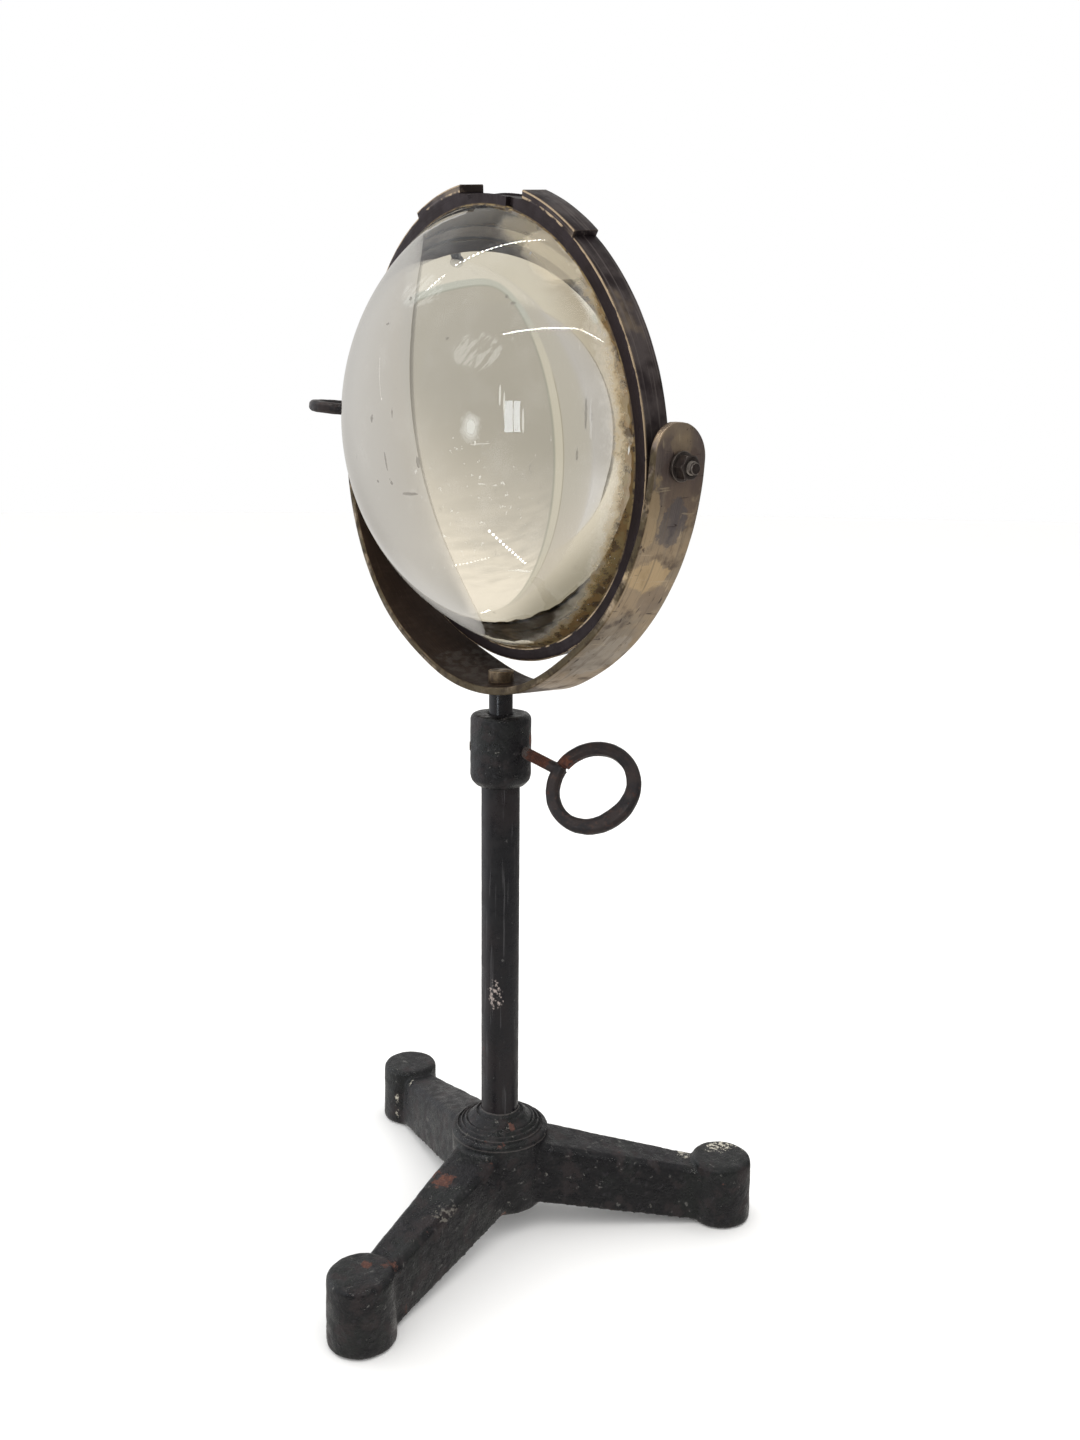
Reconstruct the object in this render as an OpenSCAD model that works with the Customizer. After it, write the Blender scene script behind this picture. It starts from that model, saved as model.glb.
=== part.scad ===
// Demonstration lens on a stand: a large plano-convex glass in a brass ring, hung in a yoke
// that turns and slides on a cast-iron tripod stand.
// Millimetres, +Z up. The origin is on the column's axis at the floor, and the lens faces -Y.

/* [Feet and legs] */
// Radius of the circle on which the three feet stand
foot_circle_r = 100; // [85:1:130]
// Diameter of a foot at its top edge
foot_d = 26.8; // [20:0.2:34]
// How far a foot flares out on each side towards the floor
foot_flare = 0.5; // [0:0.1:1.5]
// Height of a foot
foot_h = 29.3; // [26:0.1:33]
// Radius of the rounding round a foot's top
foot_round = 2.6; // [1:0.1:5]
// Radius of the rounding round a foot's sole
sole_round = 1.4; // [0.4:0.1:2.5]
// Direction in which the first leg points, seen from above
leg_azimuth = 50.4; // [0:0.1:119]
// Width of a leg across its top, at the hub
leg_w_hub = 24; // [16:0.5:28]
// Width of a leg across its top, at the foot
leg_w_foot = 15; // [10:0.5:18]
// How much wider a leg is at its underside, on each side, at the hub
leg_draft_hub = 2.4; // [0.5:0.1:4]
// How much wider a leg is at its underside, on each side, at the foot
leg_draft_foot = 1.5; // [0.4:0.1:3]
// Depth of a leg from its top to its underside, at the hub
leg_depth_hub = 27; // [20:0.5:29]
// How far a leg's top lies below the hub's rim
leg_below_rim = 4; // [2:0.5:8]
// How far a leg's top lies below a foot's top
leg_below_foot = 4.1; // [3:0.1:8]
// How far a leg's underside lies above a foot's sole
leg_above_sole = 1.2; // [0.8:0.1:6]
// Bevel along a leg's two top edges
leg_bevel = 2; // [0.5:0.1:3.5]
// How deep a leg is rooted in the hub
leg_root = 8; // [5:0.5:12]

/* [Hub] */
// Diameter of the hub
hub_d = 43.2; // [38:0.2:52]
// Height of the hub's underside above the floor
hub_under = 10.3; // [6:0.1:14]
// Height of the hub from its underside to its rim
hub_h = 33.7; // [31:0.1:44]
// Rounding round the hub's rim
rim_round = 2; // [1:0.1:3]
// Height of the crown above the rim
crown_h = 8.2; // [6:0.1:14]
// Number of turned ridges on the crown
ridges = 4; // [2:1:6]
// Radius of one ridge
ridge_r = 0.95; // [0.5:0.05:1.2]
// Diameter of the recess under the hub, which holds the washer and the nut
recess_d = 31; // [28:0.5:34]
// Depth of the recess under the hub
recess_depth = 13.7; // [11.5:0.1:15]

/* [Column and its nut] */
// Outer diameter of the column tube
column_d = 16.5; // [14.5:0.1:19]
// Length of the column that shows between the crown and the collar
column_free = 149; // [100:1:200]
// Depth of the column's seat in the crown
column_seat = 12.2; // [8:0.2:15]
// Diameter of the column's lower spigot, which passes through the hub
spigot_d = 12; // [9:0.1:13]
// How far the spigot stands out of its nut
spigot_proud = 1.5; // [0.5:0.1:2.5]
// Distance across the flats of the column nut
column_nut_af = 19; // [17:0.5:22]
// Thickness of the column nut
column_nut_h = 7; // [5:0.5:8]
// Width of the chamfer that turns the corners off the column nut
column_nut_chamfer = 1; // [0.5:0.1:1.5]
// Diameter of the washer over the column nut
column_washer_d = 24; // [21:0.5:26]
// Thickness of the washer over the column nut
column_washer_t = 1.6; // [1:0.1:2]
// Depth of the rod's bore below the column's top
rod_bore_depth = 138; // [125:1:145]

/* [Socket collar] */
// Outer diameter of the collar
collar_d = 25.4; // [22:0.1:32]
// Length of the collar
collar_h = 30.2; // [27:0.1:38]
// How far the collar reaches down over the column
collar_engage = 10.8; // [6:0.2:11.4]
// Rounding round the collar's upper end
collar_round = 2.6; // [1:0.1:4]
// Bevel round the collar's lower end, across
collar_bevel = 3.2; // [1:0.1:3.6]
// Bevel round the collar's lower end, along
collar_bevel_h = 4.2; // [2:0.1:6]
// Countersink round the rod at the collar's upper end
collar_sink = 0.9; // [0.3:0.1:2]
// Height above the collar's lower end at which the clamp screw's axis meets the column's axis
clamp_up = 18.4; // [17.8:0.1:21]
// Diameter of the grub screw in the collar's side
grub_d = 4; // [3:0.1:5]
// Direction in which the grub screw points, seen from above
grub_azimuth = 233; // [180:1:290]
// Height of the grub screw above the collar's lower end
grub_up = 15.8; // [14:0.1:20]
// How far the grub screw stands out of the collar
grub_proud = 0.5; // [0.1:0.1:1.5]
// Width of the grub screw's slot
grub_slot_w = 0.8; // [0.5:0.1:1.2]
// Depth of the grub screw's slot
grub_slot_depth = 0.8; // [0.4:0.1:1.5]

/* [Ring-headed screws] */
// Diameter of both screws' shanks
screw_d = 5; // [4:0.1:6]
// Length of the narrow point on both screws
dog_l = 1.2; // [0.8:0.1:2]
// Thickness of the bar that is bent into a ring, along the ring's axis
bar_t = 5.2; // [4.4:0.1:6.5]
// Width of the bar, seen through the ring
bar_w = 5.7; // [4.6:0.1:7]
// Bevel along the bar's four edges
bar_bevel = 1.3; // [0.4:0.1:1.8]
// Gap between the bar's cut end and its start, as an angle at the ring's centre
bar_gap = 14; // [8:1:40]
// Length over which the shank swells into the bar
swell_l = 3; // [1:0.1:5]
// Mean radius of the clamp screw's ring
clamp_ring_r = 17.1; // [13:0.1:20]
// Length of the clamp screw between the collar's side and the ring
clamp_neck = 15.3; // [10:0.1:26]
// Direction in which the clamp screw points, seen from above
clamp_azimuth = 15.7; // [0:0.1:60]
// How far the clamp screw points below level
clamp_droop = 16.2; // [0:0.1:18]
// How far the clamp screw is turned in the collar
clamp_turn = 53.1; // [0:0.1:180]
// Mean radius of the tilt screw's ring
tilt_ring_r = 13.6; // [10:0.1:17]
// Length of the tilt screw between the yoke and the ring
tilt_neck = 6.5; // [4:0.1:14]

/* [Sliding rod and yoke screw] */
// Diameter of the sliding rod
rod_d = 10; // [9:0.1:11]
// Length of the sliding rod
rod_l = 150.7; // [90:0.1:155]
// Length of the rod that shows between the collar and the yoke, as photographed
rod_neck = 9.3; // [1:0.1:60]
// Bevel round the rod's lower end
rod_bevel = 0.8; // [0.3:0.1:1.5]
// Diameter of the yoke screw's head
head_d = 10.7; // [8.5:0.1:13]
// Height of the yoke screw's head
head_h = 4.9; // [3:0.1:5.2]
// Bevel round the head's top
head_bevel = 0.5; // [0.2:0.1:1]
// Width of the slot in the yoke screw's head
slot_w = 1.4; // [0.8:0.1:2]
// Depth of the slot in the yoke screw's head
slot_depth = 1.6; // [0.8:0.1:2.5]
// How far the yoke screw is turned, as the direction of its slot
slot_turn = 35; // [0:1:179]
// Diameter of the yoke screw's shank
yoke_screw_d = 6; // [4.5:0.1:6.8]
// Length of the yoke screw in the rod
yoke_screw_grip = 14; // [8:0.5:20]
// Depth of the rod's tapped hole past the yoke screw's end
tap_spare = 1; // [0.3:0.1:3]

/* [Yoke] */
// Gap between the lens ring's outside and the strap, level with its curve's centre
yoke_gap = 6.4; // [5.6:0.1:12]
// Thickness of the strap
strap_t = 3.2; // [2:0.1:4.5]
// Width of the strap
strap_w = 24.8; // [18:0.1:32]
// How far the centre of the strap's curve lies below the pivots
yoke_drop = 2.7; // [2:0.1:3.5]
// How far the strap's round ends reach past the pivot axis, to the centre of their rounding
end_rise = 2.4; // [0:0.1:5]
// Bevel along the strap's edges
strap_bevel = 0.4; // [0.1:0.1:0.8]
// How far the pivot axis leans from level, its +X end lower
lean = 6.7; // [0:0.1:8]

/* [Lens ring] */
// How far the lens is tipped forward from upright
tip_angle = 8; // [-20:0.5:30]
// Outer radius of the ring
ring_r = 91.7; // [75:0.1:110]
// Depth of the ring in front of the pivot axis
ring_front = 6.8; // [5:0.1:8]
// Depth of the ring behind the pivot axis
ring_back = 4.4; // [3.8:0.1:6]
// Width of the ring's front face, from its outside to its mouth
face_w = 5.5; // [4.6:0.1:7]
// Thickness of the ring's wall round the glass
wall_t = 4.3; // [3.9:0.1:4.5]
// Bevel round the ring's outer edges
ring_bevel = 0.5; // [0.1:0.1:1]
// How far the raised band at the ring's top stands out
band_rise = 2.2; // [1:0.1:2.6]
// Where the band starts, as an angle from the +X pivot, seen from the front
band_from = 54; // [30:0.5:65]
// Where the band ends, counted likewise
band_to = 116.5; // [105:0.5:140]
// Middle of the flat that parts the band into two lugs, counted likewise
flat_at = 85.3; // [80:0.1:90]
// Length of the flat
flat_len = 38.6; // [20:0.2:44]
// How deep the flat is filed into the ring, at its middle
flat_cut = 2.8; // [1:0.1:3]
// Where the notch in the lip is, counted likewise
notch_at = 77.5; // [76:0.5:94]
// Width of the notch in the lip
notch_w = 4.5; // [2:0.1:8]
// Depth of the notch from the ring's front
notch_depth = 1.6; // [0.6:0.1:1.8]

/* [Glass and its retaining ring] */
// How far the middle of the dome stands in front of the ring
dome_h = 51.5; // [40:0.5:60]
// Gap between the glass and the ring's mouth
mouth_gap = 0.3; // [0.2:0.05:0.6]
// Gap between the glass's edge and the wall round it
edge_gap = 0.35; // [0.2:0.05:0.5]
// Bevel round the glass's rear edge
glass_bevel = 0.4; // [0.2:0.1:0.8]
// Width of the retaining ring behind the glass, from its outside to its opening
keeper_w = 4.9; // [3:0.1:8]
// Thickness of the retaining ring
keeper_t = 2.6; // [1.8:0.1:3]
// How far the retaining ring lies below the lens ring's back
keeper_below = 0.6; // [0.3:0.1:1]
// Bevel round the retaining ring's rear edges
keeper_bevel = 0.4; // [0.2:0.1:0.8]
// Width of a spanner slot in the retaining ring
spanner_w = 4; // [2:0.5:6]
// Depth of a spanner slot
spanner_depth = 1.2; // [0.6:0.1:1.5]
// Where the spanner slots are, counted from the pivot axis
spanner_at = 45; // [20:1:70]

/* [Pivots] */
// Diameter of the pivot stud
stud_d = 5; // [4:0.1:5.6]
// Distance across the flats of the hexagon nuts
nut_af = 8; // [7:0.1:10]
// Thickness of the hexagon nuts
nut_h = 4; // [3:0.1:4.8]
// Width of the chamfer that turns the corners off the hexagon nuts
nut_chamfer = 0.5; // [0.3:0.1:0.8]
// Diameter of the pivot washers
washer_d = 10.6; // [9.5:0.1:13]
// Thickness of the pivot washers
washer_t = 1; // [0.6:0.1:1.6]
// How far the stud stands out of its nut
stud_proud = 2.2; // [0.8:0.1:5]
// Bevel at the stud's end
stud_bevel = 0.6; // [0.2:0.1:0.8]
// How deep the stud and the tilt screw reach into the ring
stud_grip = 3; // [1.5:0.1:3.4]
// Diameter of the spacer sleeve on the tilt screw
spacer_d = 9; // [7.5:0.1:12]

/* [Fits] */
// Clearance all round a part that turns or slides in a bore
run_fit = 0.08; // [0.03:0.01:0.1]
// Clearance all round a part that stays still in its seat
seat_fit = 0.03; // [0.01:0.01:0.1]
// Gap between faces that pass each other
face_gap = 0.3; // [0.25:0.01:0.5]
// Gap between pieces that are bedded against each other
bed_gap = 0.1; // [0.05:0.01:0.2]

/* [Hidden] */
$fn = 96;

// Overlap that makes cuts clean and joins pieces of one casting
eps = 0.01;
// Thickness of the slabs that a leg is spanned between
slab = 0.1;
// A length past any wall, for cuts that go right through
through = 60;
legs = 3;
// Rounding round the hub's underside
under_round = 1.2;
// Bevel at the crown's top, across and down
crown_bevel = [1.2, 0.8];
// How far the first ridge is from the hub's side, the last from the column, and each from the slope
ridge_from = 1.6;
ridge_to = 2;
ridge_sunk = 0.35;

hub_r = hub_d / 2;
hub_rim = hub_under + hub_h;
crown_top = hub_rim + crown_h;
leg_top_hub = hub_rim - leg_below_rim;
leg_top_foot = foot_h - leg_below_foot;
recess_top = hub_under + recess_depth;

column_r = column_d / 2;
seat_z = crown_top - column_seat;
washer_floor = recess_top - column_washer_t;
nut_floor = washer_floor - column_nut_h;
spigot_foot = nut_floor - spigot_proud;

collar_r = collar_d / 2;
collar_z = crown_top + column_free;
collar_top = collar_z + collar_h;
column_top = collar_z + collar_engage;
bore_floor = column_top - rod_bore_depth;
rod_bore_d = rod_d + 2 * run_fit;
screw_bore_d = screw_d + 2 * run_fit;
stud_bore_d = stud_d + 2 * seat_fit;

// The clamp screw's point stops short of the rod by the face gap, at its lower edge
dog_r = 0.4 * screw_d;
clamp_cross_z = collar_z + clamp_up;
clamp_tip = (rod_d / 2 + face_gap + dog_r * sin(clamp_droop)) / cos(clamp_droop);
clamp_reach = collar_r / cos(clamp_droop) + clamp_neck + bar_w / 2 + clamp_ring_r;

rod_top = collar_top + rod_neck;
rod_foot = rod_top - rod_l;
strap_inner_r = ring_r + yoke_gap;
yoke_r = strap_inner_r + strap_t;
yoke_z = rod_top + face_gap + yoke_r;
strap_floor = yoke_z - strap_inner_r;
pivot_z = yoke_z + yoke_drop;

// The strap's curve is centred a little below the pivots: its centre, seen from the pivot axis
curve_x = yoke_drop * sin(lean);
curve_z = -yoke_drop * cos(lean);
// Places along the pivot axis where it goes into and out of the strap, on either side
right_in = curve_x + sqrt(pow(strap_inner_r, 2) - pow(curve_z, 2));
right_out = curve_x + sqrt(pow(yoke_r, 2) - pow(curve_z, 2));
left_in = -curve_x + sqrt(pow(strap_inner_r, 2) - pow(curve_z, 2));
left_out = -curve_x + sqrt(pow(yoke_r, 2) - pow(curve_z, 2));

mouth_r = ring_r - face_w;
bore_r = ring_r - wall_t;
band_r = ring_r + band_rise;
flat_r = ring_r - flat_cut;
ring_depth = ring_front + ring_back;
// The dome's sphere, from its height and its radius at the ring's front
glass_front_r = mouth_r - mouth_gap;
dome_r = (pow(dome_h, 2) + pow(glass_front_r, 2)) / (2 * dome_h);
dome_depth = dome_r - dome_h;
edge_r = bore_r - edge_gap;
// Depths below the ring's front: the lip is coned to the dome as far as the glass's edge
lip_t = dome_depth - sqrt(pow(dome_r, 2) - pow(edge_r, 2));
keeper_top = ring_depth - keeper_below - keeper_t;
glass_back = keeper_top - bed_gap;

// Points along an arc, for the outlines below
function arc(cx, cy, r, from, to, n = 8) = [
    for (i = [0:n])
        let (a = from + (to - from) * i / n)
            [cx + r * cos(a), cy + r * sin(a)]
];

// Frames of the moving groups
module at_pivot() {
    translate([0, 0, pivot_z]) rotate([0, lean, 0]) children();
}

// Local +Z is the way the lens faces, and +X the lower pivot
module at_ring() {
    at_pivot() rotate([tip_angle, 0, 0]) rotate([90, 0, 0]) children();
}

module at_grub() {
    translate([0, 0, collar_z + grub_up]) rotate([0, 0, grub_azimuth]) children();
}

module at_clamp() {
    translate([0, 0, clamp_cross_z])
        rotate([0, 0, clamp_azimuth])
            rotate([0, clamp_droop, 0])
                children();
}

// A cylinder along +X between two places
module rod_x(d, from, to) {
    translate([from, 0, 0]) rotate([0, 90, 0]) cylinder(d = d, h = to - from);
}

module hex_x(af, from, to) {
    translate([from, 0, 0]) rotate([0, 90, 0]) rotate([0, 0, 30])
        cylinder(d = af / cos(30), h = to - from, $fn = 6);
}

// One foot: a turned post with a rounded top and sole, slightly wider towards the floor
module foot() {
    top_r = foot_d / 2;
    floor_r = top_r + foot_flare;
    rotate_extrude()
        polygon(concat(
            [[0, 0]],
            arc(floor_r - sole_round, sole_round, sole_round, -90, 0, 4),
            arc(top_r - foot_round, foot_h - foot_round, foot_round, 0, 90, 6),
            [[0, foot_h]]
        ));
}

// Section of a leg at one end: a drafted block with bevelled top edges
module leg_section(under, top, w, draft) {
    half = w / 2;
    rotate([90, 0, 90])
        linear_extrude(height = slab)
            polygon([
                [-half - draft, under], [half + draft, under],
                [half, top - leg_bevel], [half - leg_bevel, top],
                [leg_bevel - half, top], [-half, top - leg_bevel]
            ]);
}

module leg() {
    hull() {
        translate([hub_r - leg_root, 0, 0])
            leg_section(leg_top_hub - leg_depth_hub, leg_top_hub, leg_w_hub, leg_draft_hub);
        translate([foot_circle_r - foot_d / 4, 0, 0])
            leg_section(leg_above_sole, leg_top_foot, leg_w_foot, leg_draft_foot);
    }
}

// The hub's outline, with its crown rising in a flat cone to the column
module hub_body() {
    rotate_extrude()
        polygon(concat(
            [[0, hub_under]],
            arc(hub_r - under_round, hub_under + under_round, under_round, -90, 0, 4),
            arc(hub_r - rim_round, hub_rim - rim_round, rim_round, 0, 90, 4),
            [[column_r + crown_bevel[0], crown_top - crown_bevel[1]]],
            [[column_r, crown_top], [0, crown_top]]
        ));
}

// Turned ridges, one inside the other up the crown
module hub_ridges() {
    slope_r = hub_r - rim_round;
    inner = column_r + ridge_to;
    outer = hub_r - ridge_from;
    for (i = [0:ridges - 1]) {
        r = outer - (outer - inner) * i / (ridges - 1);
        rise = crown_h * (slope_r - r) / (slope_r - column_r);
        translate([0, 0, hub_rim + rise - ridge_sunk])
            rotate_extrude()
                translate([r, 0])
                    circle(r = ridge_r, $fn = 24);
    }
}

module tripod_casting() {
    color([0.10, 0.10, 0.11])
        difference() {
            union() {
                hub_body();
                hub_ridges();
                for (i = [0:legs - 1])
                    rotate([0, 0, leg_azimuth + i * 360 / legs]) {
                        leg();
                        translate([foot_circle_r, 0, 0]) foot();
                    }
            }
            translate([0, 0, -eps])
                cylinder(d = spigot_d + 2 * seat_fit, h = seat_z + 2 * eps);
            translate([0, 0, seat_z]) cylinder(d = column_d + 2 * seat_fit, h = through);
            cylinder(d = recess_d, h = recess_top);
        }
}

module column_tube() {
    color([0.12, 0.12, 0.13])
        difference() {
            union() {
                translate([0, 0, seat_z]) cylinder(d = column_d, h = column_top - seat_z);
                translate([0, 0, spigot_foot])
                    cylinder(d = spigot_d, h = seat_z - spigot_foot + eps);
            }
            translate([0, 0, bore_floor]) cylinder(d = rod_bore_d, h = column_top);
        }
}

module column_washer() {
    color([0.45, 0.42, 0.38])
        translate([0, 0, washer_floor])
            difference() {
                cylinder(d = column_washer_d, h = column_washer_t);
                translate([0, 0, -eps])
                    cylinder(d = spigot_d + 2 * seat_fit, h = column_washer_t + 2 * eps);
            }
}

module column_nut() {
    color([0.35, 0.30, 0.26])
        translate([0, 0, nut_floor])
            difference() {
                intersection() {
                    cylinder(d = column_nut_af / cos(30), h = column_nut_h, $fn = 6);
                    // The cone that turns the corners off the lower face
                    cylinder(
                        d1 = column_nut_af - column_nut_chamfer,
                        d2 = column_nut_af - column_nut_chamfer + 4 * column_nut_h,
                        h = column_nut_h
                    );
                }
                translate([0, 0, -eps])
                    cylinder(d = spigot_d + 2 * seat_fit, h = column_nut_h + 2 * eps);
            }
}

// The collar on the column's top: bevelled below, rounded above, bored for column and rod
module socket_collar() {
    color([0.12, 0.13, 0.15])
        difference() {
            translate([0, 0, collar_z])
                rotate_extrude()
                    polygon(concat(
                        [[0, 0], [collar_r - collar_bevel, 0], [collar_r, collar_bevel_h]],
                        arc(collar_r - collar_round, collar_h - collar_round, collar_round, 0, 90, 6),
                        [[0, collar_h]]
                    ));
            translate([0, 0, collar_z - eps])
                cylinder(d = column_d + 2 * seat_fit, h = column_top - collar_z + seat_fit);
            translate([0, 0, collar_z]) cylinder(d = rod_bore_d, h = through);
            translate([0, 0, collar_top - collar_sink])
                cylinder(
                    d1 = rod_bore_d,
                    d2 = rod_bore_d + 2 * collar_sink + 2 * eps,
                    h = collar_sink + eps
                );
            at_clamp() rod_x(screw_bore_d, 0, through);
            at_grub() rod_x(grub_d + 2 * seat_fit, 0, through);
        }
}

module collar_grub_screw() {
    end = collar_r + grub_proud;
    color([0.15, 0.13, 0.12])
        at_grub()
            difference() {
                rod_x(grub_d, rod_bore_d / 2 + face_gap, end);
                translate([end - grub_slot_depth, -grub_slot_w / 2, -grub_d])
                    cube([grub_d, grub_slot_w, 2 * grub_d]);
            }
}

// Section of the bent bar, with its four edges bevelled
module bar_section() {
    x = bar_w / 2;
    y = bar_t / 2;
    polygon([
        [x, y - bar_bevel], [x - bar_bevel, y], [bar_bevel - x, y], [-x, y - bar_bevel],
        [-x, bar_bevel - y], [bar_bevel - x, -y], [x - bar_bevel, -y], [x, bar_bevel - y]
    ]);
}

// A screw whose head is its own bar bent into a ring: along +X, tip first
module ring_screw(tip, reach, bend_r) {
    elbow = reach - bend_r;
    swell_at = elbow - bar_w / 2 - swell_l;
    rod_x(2 * dog_r, tip, tip + dog_l + eps);
    rod_x(screw_d, tip + dog_l, swell_at + eps);
    translate([swell_at, 0, 0])
        rotate([0, 90, 0])
            cylinder(d1 = screw_d, d2 = bar_t, h = elbow - swell_at);
    // The bar starts a little behind the elbow, goes round and stops short of it
    behind = 4;
    translate([reach, 0, 0])
        rotate([0, 0, 180 - behind])
            rotate_extrude(angle = 360 - bar_gap + behind)
                translate([bend_r, 0])
                    bar_section();
    translate([elbow, 0, 0]) sphere(d = bar_t);
}

module clamp_thumb_screw() {
    color([0.20, 0.15, 0.13])
        at_clamp()
            rotate([clamp_turn, 0, 0])
                ring_screw(clamp_tip, clamp_reach, clamp_ring_r);
}

module slide_rod() {
    color([0.11, 0.11, 0.13])
        difference() {
            union() {
                translate([0, 0, rod_foot + rod_bevel]) cylinder(d = rod_d, h = rod_l - rod_bevel);
                translate([0, 0, rod_foot])
                    cylinder(d1 = rod_d - 2 * rod_bevel, d2 = rod_d, h = rod_bevel + eps);
            }
            translate([0, 0, rod_top - yoke_screw_grip - tap_spare])
                cylinder(d = yoke_screw_d + 2 * seat_fit, h = yoke_screw_grip + tap_spare + eps);
        }
}

// Cheese-headed screw that holds the yoke on the rod
module yoke_screw() {
    head_floor = strap_floor + face_gap;
    head_top = head_floor + head_h;
    shank_foot = rod_top - yoke_screw_grip;
    color([0.45, 0.36, 0.22])
        difference() {
            rotate_extrude()
                polygon([
                    [0, shank_foot], [yoke_screw_d / 2, shank_foot],
                    [yoke_screw_d / 2, head_floor], [head_d / 2, head_floor],
                    [head_d / 2, head_top - head_bevel], [head_d / 2 - head_bevel, head_top],
                    [0, head_top]
                ]);
            rotate([0, 0, slot_turn])
                translate([-head_d, -slot_w / 2, head_top - slot_depth])
                    cube([2 * head_d, slot_w, head_h]);
        }
}

// The strap is bent round a circle about the Y axis, and its ends are rounded about the pivots
module yoke_strap() {
    b = strap_bevel;
    h = strap_w / 2;
    color([0.52, 0.48, 0.38])
        difference() {
            intersection() {
                translate([0, 0, yoke_z])
                    rotate([90, 0, 0])
                        rotate_extrude()
                            polygon([
                                [strap_inner_r, b - h], [strap_inner_r + b, -h],
                                [yoke_r - b, -h], [yoke_r, b - h],
                                [yoke_r, h - b], [yoke_r - b, h],
                                [strap_inner_r + b, h], [strap_inner_r, h - b]
                            ]);
                at_pivot()
                    union() {
                        translate([-2 * yoke_r, -strap_w, -3 * yoke_r])
                            cube([4 * yoke_r, 2 * strap_w, 3 * yoke_r + end_rise]);
                        translate([0, 0, end_rise]) rod_x(strap_w, -2 * yoke_r, 2 * yoke_r);
                    }
            }
            at_pivot() rod_x(stud_d + 2 * run_fit, 0, 2 * yoke_r);
            at_pivot() rotate([0, 0, 180]) rod_x(screw_bore_d, 0, 2 * yoke_r);
            cylinder(d = yoke_screw_d + 2 * run_fit, h = yoke_z);
        }
}

// What is turned off the ring's outside all round, except at the band
module band_relief() {
    past = 1;
    rotate([0, 0, band_to])
        rotate_extrude(angle = 360 - (band_to - band_from))
            polygon([
                [ring_r - ring_bevel - past, ring_front + past],
                [ring_r, ring_front - ring_bevel],
                [ring_r, ring_bevel - ring_back],
                [ring_r - ring_bevel - past, -ring_back - past],
                [band_r + past, -ring_back - past],
                [band_r + past, ring_front + past]
            ]);
}

module lens_ring() {
    b = ring_bevel;
    hole_floor = ring_r - stud_grip - face_gap;
    color([0.24, 0.21, 0.20])
        at_ring()
            difference() {
                rotate_extrude()
                    polygon([
                        [mouth_r, ring_front], [band_r - b, ring_front],
                        [band_r, ring_front - b], [band_r, b - ring_back],
                        [band_r - b, -ring_back], [bore_r, -ring_back],
                        [bore_r, ring_front - lip_t]
                    ]);
                band_relief();
                // The flat filed across the band, which leaves a lug on either side
                rotate([0, 0, flat_at])
                    translate([flat_r, -flat_len / 2, -through / 2])
                        cube([through, flat_len, through]);
                // The notch in the lip
                rotate([0, 0, notch_at])
                    translate([mouth_r - face_w, -notch_w / 2, ring_front - notch_depth])
                        cube([through, notch_w, through]);
                // Holes for the stud and the tilt screw
                rod_x(stud_bore_d, hole_floor, band_r);
                rotate([0, 0, 180]) rod_x(screw_bore_d, hole_floor, band_r);
            }
}

// Plano-convex glass: its dome faces forward, and its flat side lies against the retaining ring
module lens_glass() {
    dome_end = asin(edge_r / dome_r);
    color([0.82, 0.88, 0.84, 0.5])
        at_ring()
            translate([0, 0, ring_front])
                rotate_extrude()
                    polygon(concat(
                        [[0, -glass_back], [edge_r - glass_bevel, -glass_back]],
                        [[edge_r, glass_bevel - glass_back]],
                        arc(0, -dome_depth, dome_r, 90 - dome_end, 90, 48)
                    ));
}

module retaining_ring() {
    outer = bore_r - seat_fit;
    inner = bore_r - keeper_w;
    color([0.36, 0.31, 0.24])
        at_ring()
            translate([0, 0, ring_front - keeper_top - keeper_t])
                difference() {
                    rotate_extrude()
                        polygon([
                            [inner, keeper_bevel], [inner + keeper_bevel, 0],
                            [outer - keeper_bevel, 0], [outer, keeper_bevel],
                            [outer, keeper_t], [inner, keeper_t]
                        ]);
                    for (a = [0, 180])
                        rotate([0, 0, a + spanner_at])
                            translate([inner - keeper_w, -spanner_w / 2, -spanner_depth])
                                cube([3 * keeper_w, spanner_w, 2 * spanner_depth]);
                }
}

module pivot_stud() {
    stud_end = right_out + face_gap + washer_t + nut_h + stud_proud;
    color([0.30, 0.26, 0.22])
        at_pivot() {
            rod_x(stud_d, ring_r - stud_grip, stud_end - stud_bevel);
            translate([stud_end - stud_bevel - eps, 0, 0])
                rotate([0, 90, 0])
                    cylinder(d1 = stud_d, d2 = stud_d - 2 * stud_bevel, h = stud_bevel);
        }
}

// A hexagon nut on the stud, its corners turned off by a cone on its outer or inner side
module stud_nut(from, outward) {
    small = nut_af - nut_chamfer;
    large = small + 4 * nut_h;
    difference() {
        intersection() {
            hex_x(nut_af, from, from + nut_h);
            translate([from, 0, 0])
                rotate([0, 90, 0])
                    cylinder(
                        d1 = outward ? large : small,
                        d2 = outward ? small : large,
                        h = nut_h
                    );
        }
        rod_x(stud_bore_d, from - nut_h, from + 2 * nut_h);
    }
}

// A washer on the pivot axis
module pivot_ring(bore_d, from) {
    difference() {
        rod_x(washer_d, from, from + washer_t);
        rod_x(bore_d, from - washer_t, from + 2 * washer_t);
    }
}

module pivot_lock_nut() {
    color([0.38, 0.33, 0.26])
        at_pivot() stud_nut(right_in - face_gap - nut_h, false);
}

module pivot_washer() {
    color([0.42, 0.36, 0.28])
        at_pivot() pivot_ring(stud_bore_d, right_out + face_gap);
}

module pivot_nut() {
    color([0.34, 0.29, 0.24])
        at_pivot() stud_nut(right_out + face_gap + washer_t, true);
}

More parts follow.
